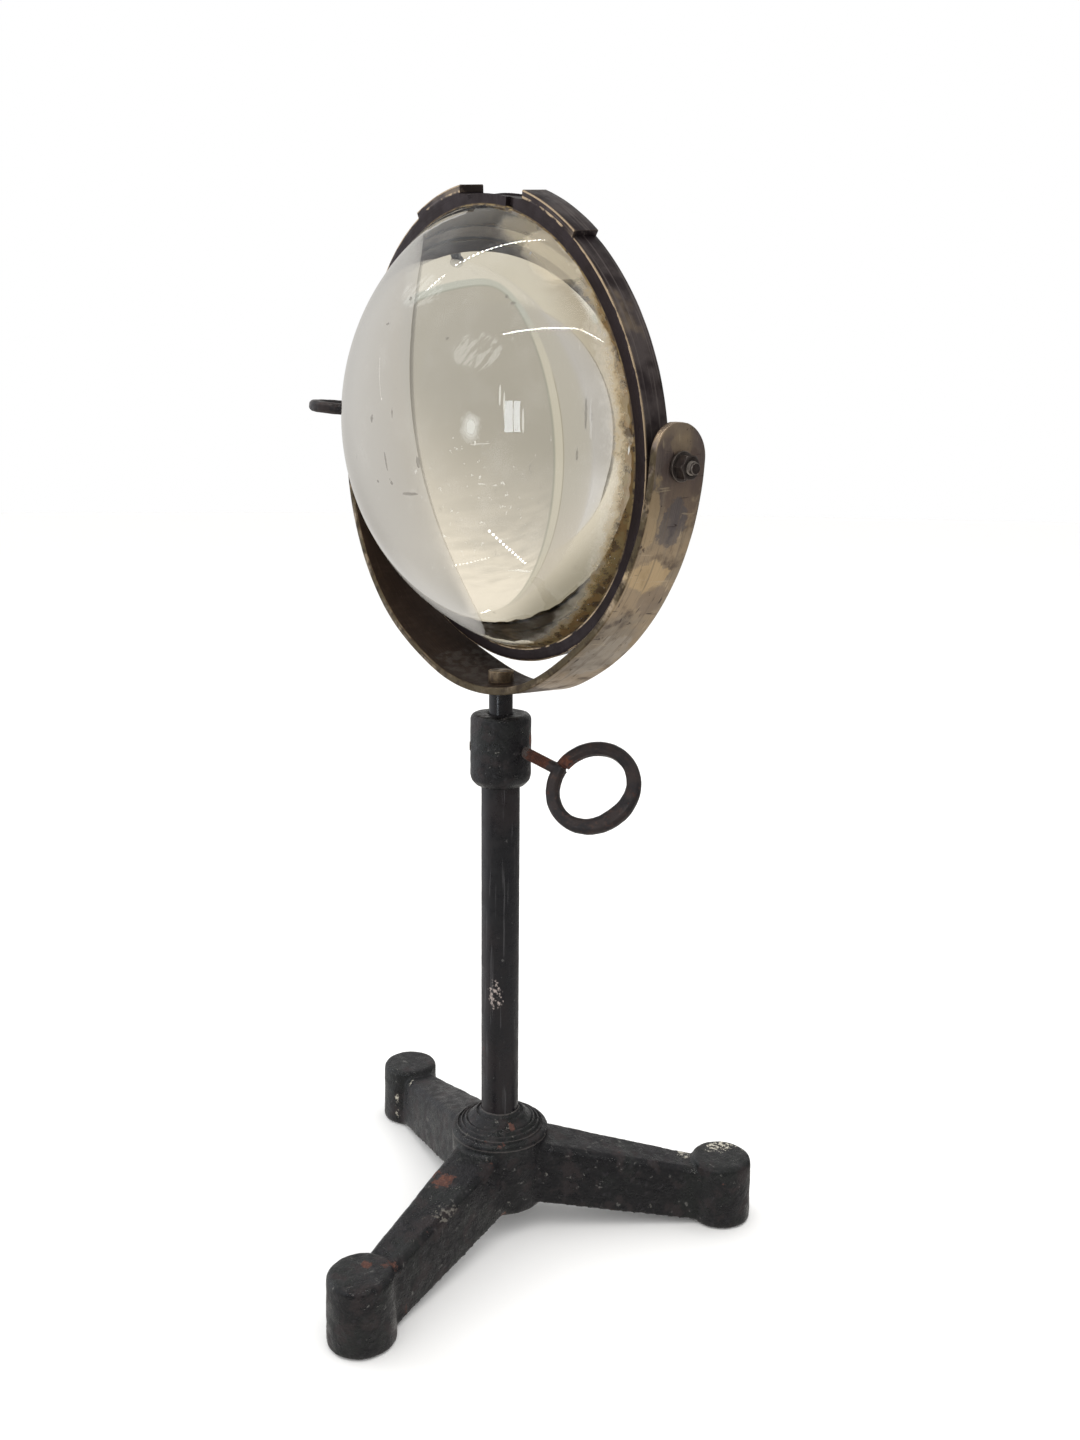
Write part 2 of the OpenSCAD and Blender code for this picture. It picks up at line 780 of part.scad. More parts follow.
// Sleeve between the ring and the yoke on the tilt screw's side
module tilt_spacer() {
    color([0.40, 0.35, 0.27])
        at_pivot()
            rotate([0, 0, 180])
                difference() {
                    rod_x(spacer_d, ring_r + bed_gap, left_in - face_gap);
                    rod_x(screw_bore_d, ring_r - stud_grip, left_in);
                }
}

module tilt_washer() {
    color([0.36, 0.31, 0.25])
        at_pivot() rotate([0, 0, 180]) pivot_ring(screw_bore_d, left_out + face_gap);
}

module tilt_thumb_screw() {
    reach = left_out + tilt_neck + bar_w / 2 + tilt_ring_r;
    color([0.22, 0.17, 0.14])
        at_pivot() rotate([0, 0, 180]) ring_screw(ring_r - stud_grip, reach, tilt_ring_r);
}

tripod_casting();
column_tube();
column_washer();
column_nut();
socket_collar();
collar_grub_screw();
clamp_thumb_screw();
slide_rod();
yoke_screw();
yoke_strap();
lens_ring();
lens_glass();
retaining_ring();
pivot_stud();
pivot_lock_nut();
pivot_washer();
pivot_nut();
tilt_spacer();
tilt_washer();
tilt_thumb_screw();
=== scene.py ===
"""Lens on stand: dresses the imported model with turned, bent, cast and ground pieces and worn finishes."""

import math

import bmesh
import bpy
import numpy as np
from mathutils import Matrix, Vector, noise


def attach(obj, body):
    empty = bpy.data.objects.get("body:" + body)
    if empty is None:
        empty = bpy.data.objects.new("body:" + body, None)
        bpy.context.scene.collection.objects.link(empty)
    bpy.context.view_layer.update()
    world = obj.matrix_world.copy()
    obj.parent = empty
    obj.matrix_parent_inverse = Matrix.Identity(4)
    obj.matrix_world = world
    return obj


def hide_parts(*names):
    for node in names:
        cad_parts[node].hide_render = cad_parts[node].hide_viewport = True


bl_info = {
    "name": "Lens on stand",
    "version": (1, 0, 0),
    "blender": (4, 5, 0),
    "location": "3D View > Sidebar > Lens stand",
    "description": "Builds the looks of a demonstration lens in a yoke on a cast-iron tripod stand",
    "category": "Object",
}

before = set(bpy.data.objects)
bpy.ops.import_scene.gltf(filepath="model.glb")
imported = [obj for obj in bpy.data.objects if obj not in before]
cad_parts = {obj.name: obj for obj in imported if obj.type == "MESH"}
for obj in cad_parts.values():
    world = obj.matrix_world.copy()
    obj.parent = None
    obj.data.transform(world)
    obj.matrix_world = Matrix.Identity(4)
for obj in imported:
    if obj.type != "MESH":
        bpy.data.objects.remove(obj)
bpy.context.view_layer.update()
MM = 0.001
FULL = 2 * math.pi
TINY = 1e-7


# Sizes and colours


def length(name, default, words):
    return bpy.props.FloatProperty(
        name=name, description=words, default=default * MM, unit="LENGTH", precision=5
    )


def turn(name, default, words):
    return bpy.props.FloatProperty(
        name=name, description=words, default=math.radians(default), subtype="ANGLE"
    )


def tint(name, default, words):
    return bpy.props.FloatVectorProperty(
        name=name, description=words, default=default, subtype="COLOR", size=3, min=0, max=1
    )


class LensStandSizes(bpy.types.PropertyGroup):
    """Sizes of the stand, the yoke and the lens, as in the part's source."""

    hub_r: length("Hub radius", 21.6, "Radius of the casting's hub")
    hub_rim: length("Hub rim", 44.0, "Height of the hub's rim")
    crown_top: length("Crown top", 52.2, "Height at which the crown meets the column")
    column_r: length("Column radius", 8.25, "Outer radius of the column tube")
    column_top: length("Column top", 212.0, "Height of the column's end inside the collar")
    spigot_r: length("Spigot radius", 6.0, "Radius of the column's lower spigot")
    bore_r: length("Rod bore radius", 5.08, "Radius of the bore in which the rod slides")
    collar_r: length("Collar radius", 12.7, "Outer radius of the socket collar")
    collar_z: length("Collar foot", 201.2, "Height of the collar's lower end")
    collar_h: length("Collar length", 30.2, "Length of the collar")
    rod_r: length("Rod radius", 5.0, "Radius of the sliding rod")
    rod_foot: length("Rod foot", 90.0, "Height of the rod's lower end")
    rod_top: length("Rod top", 240.7, "Height of the rod's upper end")
    strap_r: length("Strap radius", 101.3, "Outer radius of the bent strap")
    strap_t: length("Strap thickness", 3.2, "Thickness of the strap")
    strap_w: length("Strap width", 24.8, "Width of the strap")
    yoke_z: length("Strap centre", 342.3, "Height of the centre of the strap's curve")
    end_rise: length("Strap end rise", 2.4, "How far the strap's ends reach past the pivots")
    pivot_z: length("Pivot height", 345.0, "Height of the pivot axis at the column's axis")
    lean: turn("Lean", 6.7, "How far the pivot axis leans from level")
    tip: turn("Tip", 8.0, "How far the lens is tipped forward")
    ring_r: length("Lens ring radius", 91.7, "Outer radius of the lens ring")
    mouth_r: length("Mouth radius", 86.2, "Radius of the lens ring's mouth")
    band_r: length("Band radius", 93.9, "Outer radius of the raised band")
    bar_t: length("Bar thickness", 5.2, "Thickness of the bar bent into a ring")
    bar_w: length("Bar width", 5.7, "Width of the bar, seen through the ring")
    screw_r: length("Screw radius", 2.5, "Radius of the ring-headed screws' threads")
    stud_r: length("Stud radius", 2.5, "Radius of the pivot stud")


class LensStandColours(bpy.types.PropertyGroup):
    """Main colours of the finishes."""

    japan: tint("Japan black", (0.0050, 0.0047, 0.0060), "Black japanned paint")
    japan_green: tint("Greenish black", (0.0130, 0.0160, 0.0135), "Paint where it has greened")
    japan_brown: tint("Brownish black", (0.0200, 0.0135, 0.0140), "Paint where it has browned")
    rust: tint("Rust", (0.150, 0.058, 0.034), "Fresh rust")
    rust_dark: tint("Dark rust", (0.085, 0.032, 0.022), "Old rust")
    chip: tint("Chip", (0.620, 0.580, 0.480), "Pale ground under chipped paint")
    bronze: tint("Bronze", (0.440, 0.335, 0.225), "Worn bronze of the strap")
    bronze_dark: tint("Tarnished bronze", (0.110, 0.082, 0.070), "Tarnish on the strap")
    patina: tint("Patina", (0.036, 0.026, 0.028), "Purple-brown patina of the lens ring")
    brass: tint("Bare brass", (0.560, 0.420, 0.270), "Brass where it is rubbed bare")
    stain: tint("Stain", (0.230, 0.160, 0.062), "Yellow-brown crust round the glass")
    glass: tint("Glass", (0.960, 0.975, 0.955), "Faint tint of the glass")
    floor: tint("Floor", (0.900, 0.895, 0.885), "Pale floor")


def sizes():
    return bpy.context.scene.lens_stand_sizes


def colours():
    return bpy.context.scene.lens_stand_colours


# Places of the moving groups


def pivot_place():
    z = sizes()
    return raised(z.pivot_z) @ Matrix.Rotation(z.lean, 4, "Y")


def lens_place():
    """Local Z is the way the lens faces, and local X the lower pivot."""
    return pivot_place() @ Matrix.Rotation(sizes().tip + math.pi / 2, 4, "X")


def clamp_place():
    """Local X is the clamp screw's axis, from the column's axis outwards and down."""
    height, heading, droop, roll = 219.6, 15.7, 16.2, 53.1
    return raised(height * MM) @ rolled(heading, "Z") @ rolled(droop, "Y") @ rolled(roll, "X")


def raised(height):
    return Matrix.Translation((0, 0, height))


def rolled(degrees, axis):
    return Matrix.Rotation(math.radians(degrees), 4, axis)


def bell(value, middle, wide):
    return math.exp(-(((value - middle) / wide) ** 2))


ALONG_X = rolled(90, "Y")
LEFT = rolled(180, "Z")
RING_FRONT, RING_BACK = 6.8 * MM, -4.4 * MM  # the lens ring's ends along the lens axis


# Shaping


def softened(outline, radius, count=3, closed=True):
    """Rounds the corners of an outline of (radius, height) pairs."""
    points = [Vector(p) for p in outline]
    last = len(points) - 1
    out = []
    for i, corner in enumerate(points):
        if not closed and i in (0, last):
            out.append(tuple(corner))
            continue
        before = points[i - 1] - corner
        after = points[(i + 1) % len(points)] - corner
        reach = min(radius, before.length * 0.45, after.length * 0.45)
        straight = before.angle(after) > math.radians(172)
        if straight or corner.x < TINY:
            out.append(tuple(corner))
            continue
        a, b = corner + before.normalized() * reach, corner + after.normalized() * reach
        for k in range(count + 1):
            t = k / count
            out.append(tuple(a * (1 - t) ** 2 + corner * 2 * t * (1 - t) + b * t**2))
    return out


def dense(outline, step, closed=True):
    """Adds points so that no side of an outline is longer than a step."""
    out = []
    for a, b in zip(outline, outline[1:] + (outline[:1] if closed else [])):
        count = max(1, math.ceil(math.dist(a, b) / step))
        out += [tuple(p + (q - p) * k / count for p, q in zip(a, b)) for k in range(count)]
    return out if closed else out + [outline[-1]]


def arc(centre, radius, degrees):
    """Points of an outline on a circle round a (radius, height) pair."""
    turns = [math.radians(d) for d in degrees]
    return [(centre[0] + radius * math.cos(a), centre[1] + radius * math.sin(a)) for a in turns]


def slab(inner, outer, low, high):
    """The outline of a plain ring, or of a disc where the inner radius is 0."""
    return [(inner, low), (outer, low), (outer, high), (inner, high)]


def drawn(shape, places, closed=True):
    """Adds an outline's points and lines to a shape."""
    points = [shape.verts.new(place) for place in places]
    pairs = list(zip(points, points[1:])) + ([(points[-1], points[0])] if closed else [])
    return points + [shape.edges.new(pair) for pair in pairs]


def moved(shape, place):
    bmesh.ops.transform(shape, matrix=place, verts=shape.verts)
    return shape


def capped(shape):
    """Closes the open ends of a shape."""
    bmesh.ops.holes_fill(shape, edges=[e for e in shape.edges if e.is_boundary], sides=0)


def swept(shape, geom, centre, axis, angle, steps, parts=1):
    """Spins geometry through an angle; a long spin is made as one part and copies of it, which is faster."""
    about = {"cent": centre, "axis": axis}
    whole = parts == 1 and angle == FULL
    bmesh.ops.spin(shape, geom=geom, angle=angle / parts, steps=steps // parts, use_merge=whole, **about)
    if parts > 1:
        part = shape.verts[:] + shape.edges[:] + shape.faces[:]
        rest = angle * (parts - 1) / parts
        bmesh.ops.spin(shape, geom=part, angle=rest, steps=parts - 1, use_duplicate=True, **about)
        bmesh.ops.remove_doubles(shape, verts=shape.verts, dist=1e-6)


def turned(outline, steps, shape=None, closed=True):
    """Spins an outline of (radius, height) pairs once round Z."""
    shape = shape or bmesh.new()
    geom = drawn(shape, [(r, 0, h) for r, h in outline], closed)
    swept(shape, geom, (0, 0, 0), (0, 0, 1), FULL, steps, 12 if steps >= 240 else 1)
    poles = [v for v in shape.verts if math.hypot(v.co.x, v.co.y) < TINY]
    bmesh.ops.remove_doubles(shape, verts=poles, dist=TINY)
    bmesh.ops.recalc_face_normals(shape, faces=shape.faces)
    return shape


def threaded(radius, start, end, depth):
    """A round shank with a cut thread, along Z: a core, and the thread's ridge wound round it."""
    shape = turned(slab(0, radius - depth, start, end), 24, closed=False)
    pitch, steps = 0.8 * MM, 20
    root, half, crest = radius - depth * 1.15, pitch * 0.44, pitch * 0.06
    first, last = start + pitch, end - pitch * 0.5
    count = int(steps * ((last - first) / pitch))
    core = set(shape.verts)
    section = [(root, first - half), (radius, first - crest), (radius, first + crest), (root, first + half)]
    bmesh.ops.spin(
        shape, geom=drawn(shape, [(r, 0, h) for r, h in section]), cent=(0, 0, 0), axis=(0, 0, 1),
        dvec=(0, 0, pitch / steps), angle=FULL * count / steps, steps=count,
    )
    rim = {e for v in shape.verts if v not in core for e in v.link_edges if e.is_boundary}
    bmesh.ops.holes_fill(shape, edges=list(rim), sides=0)
    bmesh.ops.recalc_face_normals(shape, faces=shape.faces)
    return shape


def hollows(shape, depth, size, seed, octaves=3):
    """Wears a surface unevenly, inwards only."""
    shape.normal_update()
    shift = Vector((seed * 7.31, seed * 3.77, seed * 1.93))
    for v in shape.verts:
        worn = noise.fractal(v.co / size + shift, 1.0, 2.0, octaves)
        v.co -= v.normal * depth * min(1.6, max(0.0, 0.8 + worn))


def shape_of(mesh):
    shape = bmesh.new()
    shape.from_mesh(mesh)
    return shape


def stored(shape, mesh):
    shape.to_mesh(mesh)
    shape.free()


def added(shape, other):
    """Adds another shape to a shape."""
    holder = bpy.data.meshes.new("holder")
    stored(other, holder)
    shape.from_mesh(holder)
    bpy.data.meshes.remove(holder)


def in_scene(name, data):
    thing = bpy.data.objects.new(name, data)
    bpy.context.scene.collection.objects.link(thing)
    return thing


def as_object(shape, name):
    mesh = bpy.data.meshes.new(name)
    stored(shape, mesh)
    return in_scene(name, mesh)


def settle(piece):
    """Applies a piece's modifiers to its mesh."""
    graph = bpy.context.evaluated_depsgraph_get()
    mesh = bpy.data.meshes.new_from_object(piece.evaluated_get(graph))
    piece.modifiers.clear()
    old, piece.data = piece.data, mesh
    bpy.data.meshes.remove(old)
    mesh.name = piece.name


def skinned(piece, voxel):
    """Joins overlapping solids under one skin, as a casting or a forging has."""
    skin = piece.modifiers.new("skin", "REMESH")
    skin.mode, skin.voxel_size, skin.adaptivity = "VOXEL", voxel, 0
    soft = piece.modifiers.new("soft", "SMOOTH")
    soft.factor, soft.iterations = 0.5, 3
    settle(piece)


def cut(piece, cutters, operation="DIFFERENCE"):
    """Cuts shapes out of a piece."""
    tools = [as_object(c, "cutter") for c in cutters]
    for tool in tools:
        step = piece.modifiers.new("cut", "BOOLEAN")
        step.object, step.operation, step.solver = tool, operation, "EXACT"
    settle(piece)
    for tool in tools:
        bpy.data.objects.remove(tool)


def rod_cutter(place, radius, start, end):
    return moved(turned(slab(0, radius, start, end), 48, closed=False), place @ ALONG_X)


def box_cutter(place, low, high):
    tool = bmesh.new()
    bmesh.ops.create_cube(tool, size=1.0)
    low, high = Vector(low), Vector(high)
    return moved(tool, place @ Matrix.Translation((low + high) / 2) @ Matrix.Diagonal((*(high - low), 1)))


def mark_wear(piece, soften=1):
    """Stores how sharply each point stands out and how far it faces up, for the worn finishes."""
    mesh = piece.data
    count = len(mesh.vertices)
    place, way = np.empty(count * 3), np.empty(count * 3)
    mesh.vertices.foreach_get("co", place)
    mesh.vertices.foreach_get("normal", way)
    place, way = place.reshape(-1, 3), way.reshape(-1, 3)
    ends = np.empty(len(mesh.edges) * 2, dtype=np.int32)
    mesh.edges.foreach_get("vertices", ends)
    a, b = ends.reshape(-1, 2).T
    run = place[b] - place[a]
    run /= np.linalg.norm(run, axis=1, keepdims=True) + 1e-12
    links = np.maximum(np.bincount(a, minlength=count) + np.bincount(b, minlength=count), 1)
    bend = np.bincount(a, -(run * way[a]).sum(1), count) + np.bincount(b, (run * way[b]).sum(1), count)
    bend = bend / links
    for _ in range(soften):
        bend = (bend + (np.bincount(a, bend[b], count) + np.bincount(b, bend[a], count)) / links) / 2
    for name, values in (("edge", bend), ("up", way[:, 2])):
        mesh.attributes.new(name, "FLOAT", "POINT").data.foreach_set("value", values.astype(np.float32))


def mark_along(piece, place, run, seen=tuple):
    """Stores how far round, along and out each point lies, for patterns that follow a ring.

    The run is the distance of one radian, and seen gives a point's coordinates with the ring's axis last.
    """
    back = place.inverted()
    points = [seen(back @ v.co) for v in piece.data.vertices]
    values = [(math.atan2(y, x) * run, z, math.hypot(x, y)) for x, y, z in points]
    held = piece.data.attributes.new("along", "FLOAT_VECTOR", "POINT")
    held.data.foreach_set("vector", np.array(values, dtype=np.float32).ravel())


def finished(piece, body, look, node=None, crease=35, soften=1):
    """Gives a piece its finish and hands it to the body it moves with."""
    mesh = piece.data
    mesh.shade_smooth()
    mesh.set_sharp_from_angle(angle=math.radians(crease))
    mark_wear(piece, soften)
    mesh.materials.clear()
    mesh.materials.append(look())
    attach(piece, body)
    if node:
        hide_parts(node)


# Finishes: node helpers and shared groups


def put(tree, kind, props=None, ins=None):
    """Adds a node, sets its options, and sets or links its inputs."""
    node = tree.nodes.new(kind)
    for key, value in (props or {}).items():
        setattr(node, key, value)
    for key, value in (ins or {}).items():
        if isinstance(value, bpy.types.NodeSocket):
            tree.links.new(value, node.inputs[key])
        else:
            node.inputs[key].default_value = value
    return node


def maths(tree, operation, a, b=0.0, clamp=False):
    return put(tree, "ShaderNodeMath", {"operation": operation, "use_clamp": clamp}, {0: a, 1: b}).outputs[0]


def times(tree, a, b):
    return maths(tree, "MULTIPLY", a, b)


def plus(tree, a, b):
    return maths(tree, "ADD", a, b)


def greater(tree, a, b):
    return maths(tree, "MAXIMUM", a, b)


def vectors(tree, operation, a, b, out=0):
    return put(tree, "ShaderNodeVectorMath", {"operation": operation}, {0: a, 1: b}).outputs[out]


def axes(tree, vector):
    return put(tree, "ShaderNodeSeparateXYZ", {}, {0: vector}).outputs


def attribute(tree, name, out="Fac"):
    return put(tree, "ShaderNodeAttribute", {"attribute_name": name}).outputs[out]


def emptied(owner):
    """The node tree of a new material or world, with no nodes in it."""
    owner.use_nodes = True
    owner.node_tree.nodes.clear()
    return owner.node_tree


def shown(tree, shader, kind="Material"):
    """Sends a shader to the output."""
    put(tree, "ShaderNodeOutput" + kind, {}, {"Surface": shader.outputs[0]})


def spread(tree, value, low, high, to_low=0.0, to_high=1.0):
    node = put(
        tree, "ShaderNodeMapRange", {"interpolation_type": "SMOOTHSTEP"},
        {"Value": value, "From Min": low, "From Max": high, "To Min": to_low, "To Max": to_high},
    )
    return node.outputs["Result"]


def blend(tree, mask, under, over):
    node = put(tree, "ShaderNodeMix", {"data_type": "RGBA"}, {0: mask})
    for index, value in ((6, under), (7, over)):
        if isinstance(value, bpy.types.NodeSocket):
            tree.links.new(value, node.inputs[index])
        else:
            node.inputs[index].default_value = (*value, 1.0)
    return node.outputs[2]


def stretched(tree, vector, scale):
    return vectors(tree, "MULTIPLY", vector, scale)


def grain(tree, vector, scale, detail=3.0, rough=0.55):
    node = put(
        tree, "ShaderNodeTexNoise", {"noise_dimensions": "3D"},
        {"Vector": vector, "Scale": scale, "Detail": detail, "Roughness": rough},
    )
    return node.outputs["Fac"]


def group(name, inputs, build):
    """A shared effect: named inputs, one output called Mask."""
    if name in bpy.data.node_groups:
        return bpy.data.node_groups[name]
    tree = bpy.data.node_groups.new(name, "ShaderNodeTree")
    for label, kind, default in inputs:
        socket = tree.interface.new_socket(name=label, in_out="INPUT", socket_type=kind)
        if default is not None:
            socket.default_value = default
    tree.interface.new_socket(name="Mask", in_out="OUTPUT", socket_type="NodeSocketFloat")
    start = tree.nodes.new("NodeGroupInput")
    end = tree.nodes.new("NodeGroupOutput")
    tree.links.new(build(tree, start.outputs), end.inputs["Mask"])
    return tree


VECTOR, NUMBER = "NodeSocketVector", "NodeSocketFloat"


def mottle_group():
    def build(tree, ins):
        value = grain(tree, ins["Vector"], ins["Scale"], 4.0, 0.6)
        return spread(tree, value, ins["Low"], ins["High"])

    inputs = [("Vector", VECTOR, None), ("Scale", NUMBER, 100.0), ("Low", NUMBER, 0.4), ("High", NUMBER, 0.6)]
    return group("Mottle", inputs, build)


def specks_group():
    """Scattered ragged specks: Cover is the share of cells that hold one."""

    def build(tree, ins):
        shake = put(
            tree, "ShaderNodeTexNoise", {},
            {"Vector": ins["Vector"], "Scale": times(tree, ins["Scale"], 2.6), "Detail": 3.0},
        ).outputs["Color"]
        push = put(
            tree, "ShaderNodeVectorMath", {"operation": "SCALE"},
            {0: shake, "Scale": maths(tree, "DIVIDE", 1.7, ins["Scale"])},
        ).outputs[0]
        shaken = vectors(tree, "ADD", ins["Vector"], push)
        cells = put(tree, "ShaderNodeTexVoronoi", {"feature": "F1"}, {"Vector": shaken, "Scale": ins["Scale"]})
        part = put(tree, "ShaderNodeSeparateColor", {}, {0: cells.outputs["Color"]})
        chosen = maths(tree, "LESS_THAN", part.outputs[0], ins["Cover"])
        size = times(tree, ins["Size"], plus(tree, part.outputs[1], 0.35))
        inside = maths(tree, "SUBTRACT", size, cells.outputs["Distance"])
        return times(tree, spread(tree, inside, 0.0, 0.08), chosen)

    inputs = [("Vector", VECTOR, None), ("Scale", NUMBER, 400.0), ("Cover", NUMBER, 0.1), ("Size", NUMBER, 0.3)]
    return group("Specks", inputs, build)


def scratches_group():
    """Fine streaks: Stretch is how the vector is scaled, so the small axis is the streaks' own."""

    def build(tree, ins):
        value = grain(tree, stretched(tree, ins["Vector"], ins["Stretch"]), 1.0, 2.0, 0.65)
        return spread(tree, value, ins["Low"], plus(tree, ins["Low"], 0.06))

    inputs = [("Vector", VECTOR, None), ("Stretch", VECTOR, (40.0, 900.0, 900.0)), ("Low", NUMBER, 0.62)]
    return group("Scratches", inputs, build)


def patch_group():
    """One ragged patch round a centre."""

    def build(tree, ins):
        far = vectors(tree, "DIVIDE", vectors(tree, "SUBTRACT", ins["Vector"], ins["Centre"]), ins["Reach"])
        reach = put(tree, "ShaderNodeVectorMath", {"operation": "LENGTH"}, {0: far}).outputs["Value"]
        ragged = maths(tree, "SUBTRACT", grain(tree, ins["Vector"], ins["Scale"], 4.0, 0.7), 0.5)
        return spread(tree, plus(tree, reach, times(tree, ragged, ins["Ragged"])), 0.8, 1.0, 1.0, 0.0)

    inputs = [
        ("Vector", VECTOR, None), ("Centre", VECTOR, None), ("Reach", VECTOR, (0.01, 0.01, 0.01)),
        ("Scale", NUMBER, 500.0), ("Ragged", NUMBER, 2.0),
    ]
    return group("Patch", inputs, build)


def wear_group():
    """Edges rubbed bare, broken up along their length."""

    def build(tree, ins):
        broken = maths(tree, "SUBTRACT", grain(tree, ins["Vector"], ins["Scale"], 4.0, 0.65), 0.5)
        return spread(tree, plus(tree, ins["Edge"], times(tree, broken, ins["Break"])), ins["Start"], ins["Full"])

    inputs = [
        ("Edge", NUMBER, 0.0), ("Vector", VECTOR, None), ("Scale", NUMBER, 250.0),
        ("Break", NUMBER, 0.3), ("Start", NUMBER, 0.08), ("Full", NUMBER, 0.2),
    ]
    return group("Edge wear", inputs, build)


def effect(tree, shared, **ins):
    return put(tree, "ShaderNodeGroup", {"node_tree": shared}, ins).outputs["Mask"]


class Finish:
    """A material in the making: its coordinates, its marks and its running colour and roughness."""

    def __init__(self, name, colour, rough):
        self.material = bpy.data.materials.new(name)
        self.tree = emptied(self.material)
        self.here = put(self.tree, "ShaderNodeTexCoord").outputs["Object"]
        self.edge, self.up = attribute(self.tree, "edge"), attribute(self.tree, "up")
        self.along = attribute(self.tree, "along", "Vector")
        self.colour = blend(self.tree, 0.0, colour, colour)
        self.rough = plus(self.tree, rough, 0.0)
        self.height = None

    def over(self, mask, colour, rough=None, amount=1.0):
        """Lays a colour, and a roughness if given, over what is there where the mask is."""
        if amount != 1.0:
            mask = self.times(mask, amount)
        self.colour = blend(self.tree, mask, self.colour, colour)
        if rough is not None:
            mixed = put(self.tree, "ShaderNodeMix", {"data_type": "FLOAT"}, {0: mask, 2: self.rough, 3: rough})
            self.rough = mixed.outputs[0]

    def raise_by(self, value, amount):
        step = self.times(value, amount)
        self.height = step if self.height is None else plus(self.tree, self.height, step)

    def bumpy(self, scale, detail, rough, amount=1.0):
        self.raise_by(grain(self.tree, self.here, scale, detail, rough), amount)

    def uneven(self, scale, amount):
        """Lets the roughness swing in clouds."""
        swing = self.times(maths(self.tree, "SUBTRACT", self.mottle(scale, 0.3, 0.7), 0.5), amount)
        self.rough = maths(self.tree, "ADD", self.rough, swing, clamp=True)

    def mottle(self, scale, low, high):
        return effect(self.tree, mottle_group(), Vector=self.here, Scale=scale, Low=low, High=high)

    def specks(self, scale, cover, size=0.3, vector=None):
        return effect(self.tree, specks_group(), Vector=vector or self.here, Scale=scale, Cover=cover, Size=size)

    def scratches(self, stretch, low, vector=None):
        return effect(self.tree, scratches_group(), Vector=vector or self.here, Stretch=stretch, Low=low)

    def patch(self, centre, reach, scale, ragged):
        """A ragged spot round a place, both in millimetres."""
        ins = {"Centre": tuple(c * MM for c in centre), "Reach": tuple(r * MM for r in reach)}
        return effect(self.tree, patch_group(), Vector=self.here, Scale=scale, Ragged=ragged, **ins)

    def wear(self, start, full, scale, breaks):
        ins = {"Edge": self.edge, "Scale": scale, "Break": breaks, "Start": start, "Full": full}
        return effect(self.tree, wear_group(), Vector=self.here, **ins)

    def times(self, *masks):
        """Where all the masks are."""
        both = masks[0]
        for mask in masks[1:]:
            both = times(self.tree, both, mask)
        return both

    def between(self, value, low, high):
        """Where a value, in millimetres, runs from low to high."""
        return spread(self.tree, value, low * MM, high * MM)

    def done(self, depth=0.0, metallic=0.0, **constants):
        """Makes the shader, with its bumps up to a depth in metres."""
        tree = self.tree
        ins = {"Base Color": self.colour, "Roughness": self.rough, "Metallic": metallic, **constants}
        if self.height is not None:
            bump = put(tree, "ShaderNodeBump", {}, {"Height": self.height, "Distance": depth, "Strength": 1.0})
            ins["Normal"] = bump.outputs["Normal"]
        shown(tree, put(tree, "ShaderNodeBsdfPrincipled", {}, ins))
        return self.material


def once(build):
    """Builds a finish the first time it is asked for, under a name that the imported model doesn't use."""

    def ask():
        name = build.__name__ + "_look"
        return bpy.data.materials.get(name) or build(name)

    return ask


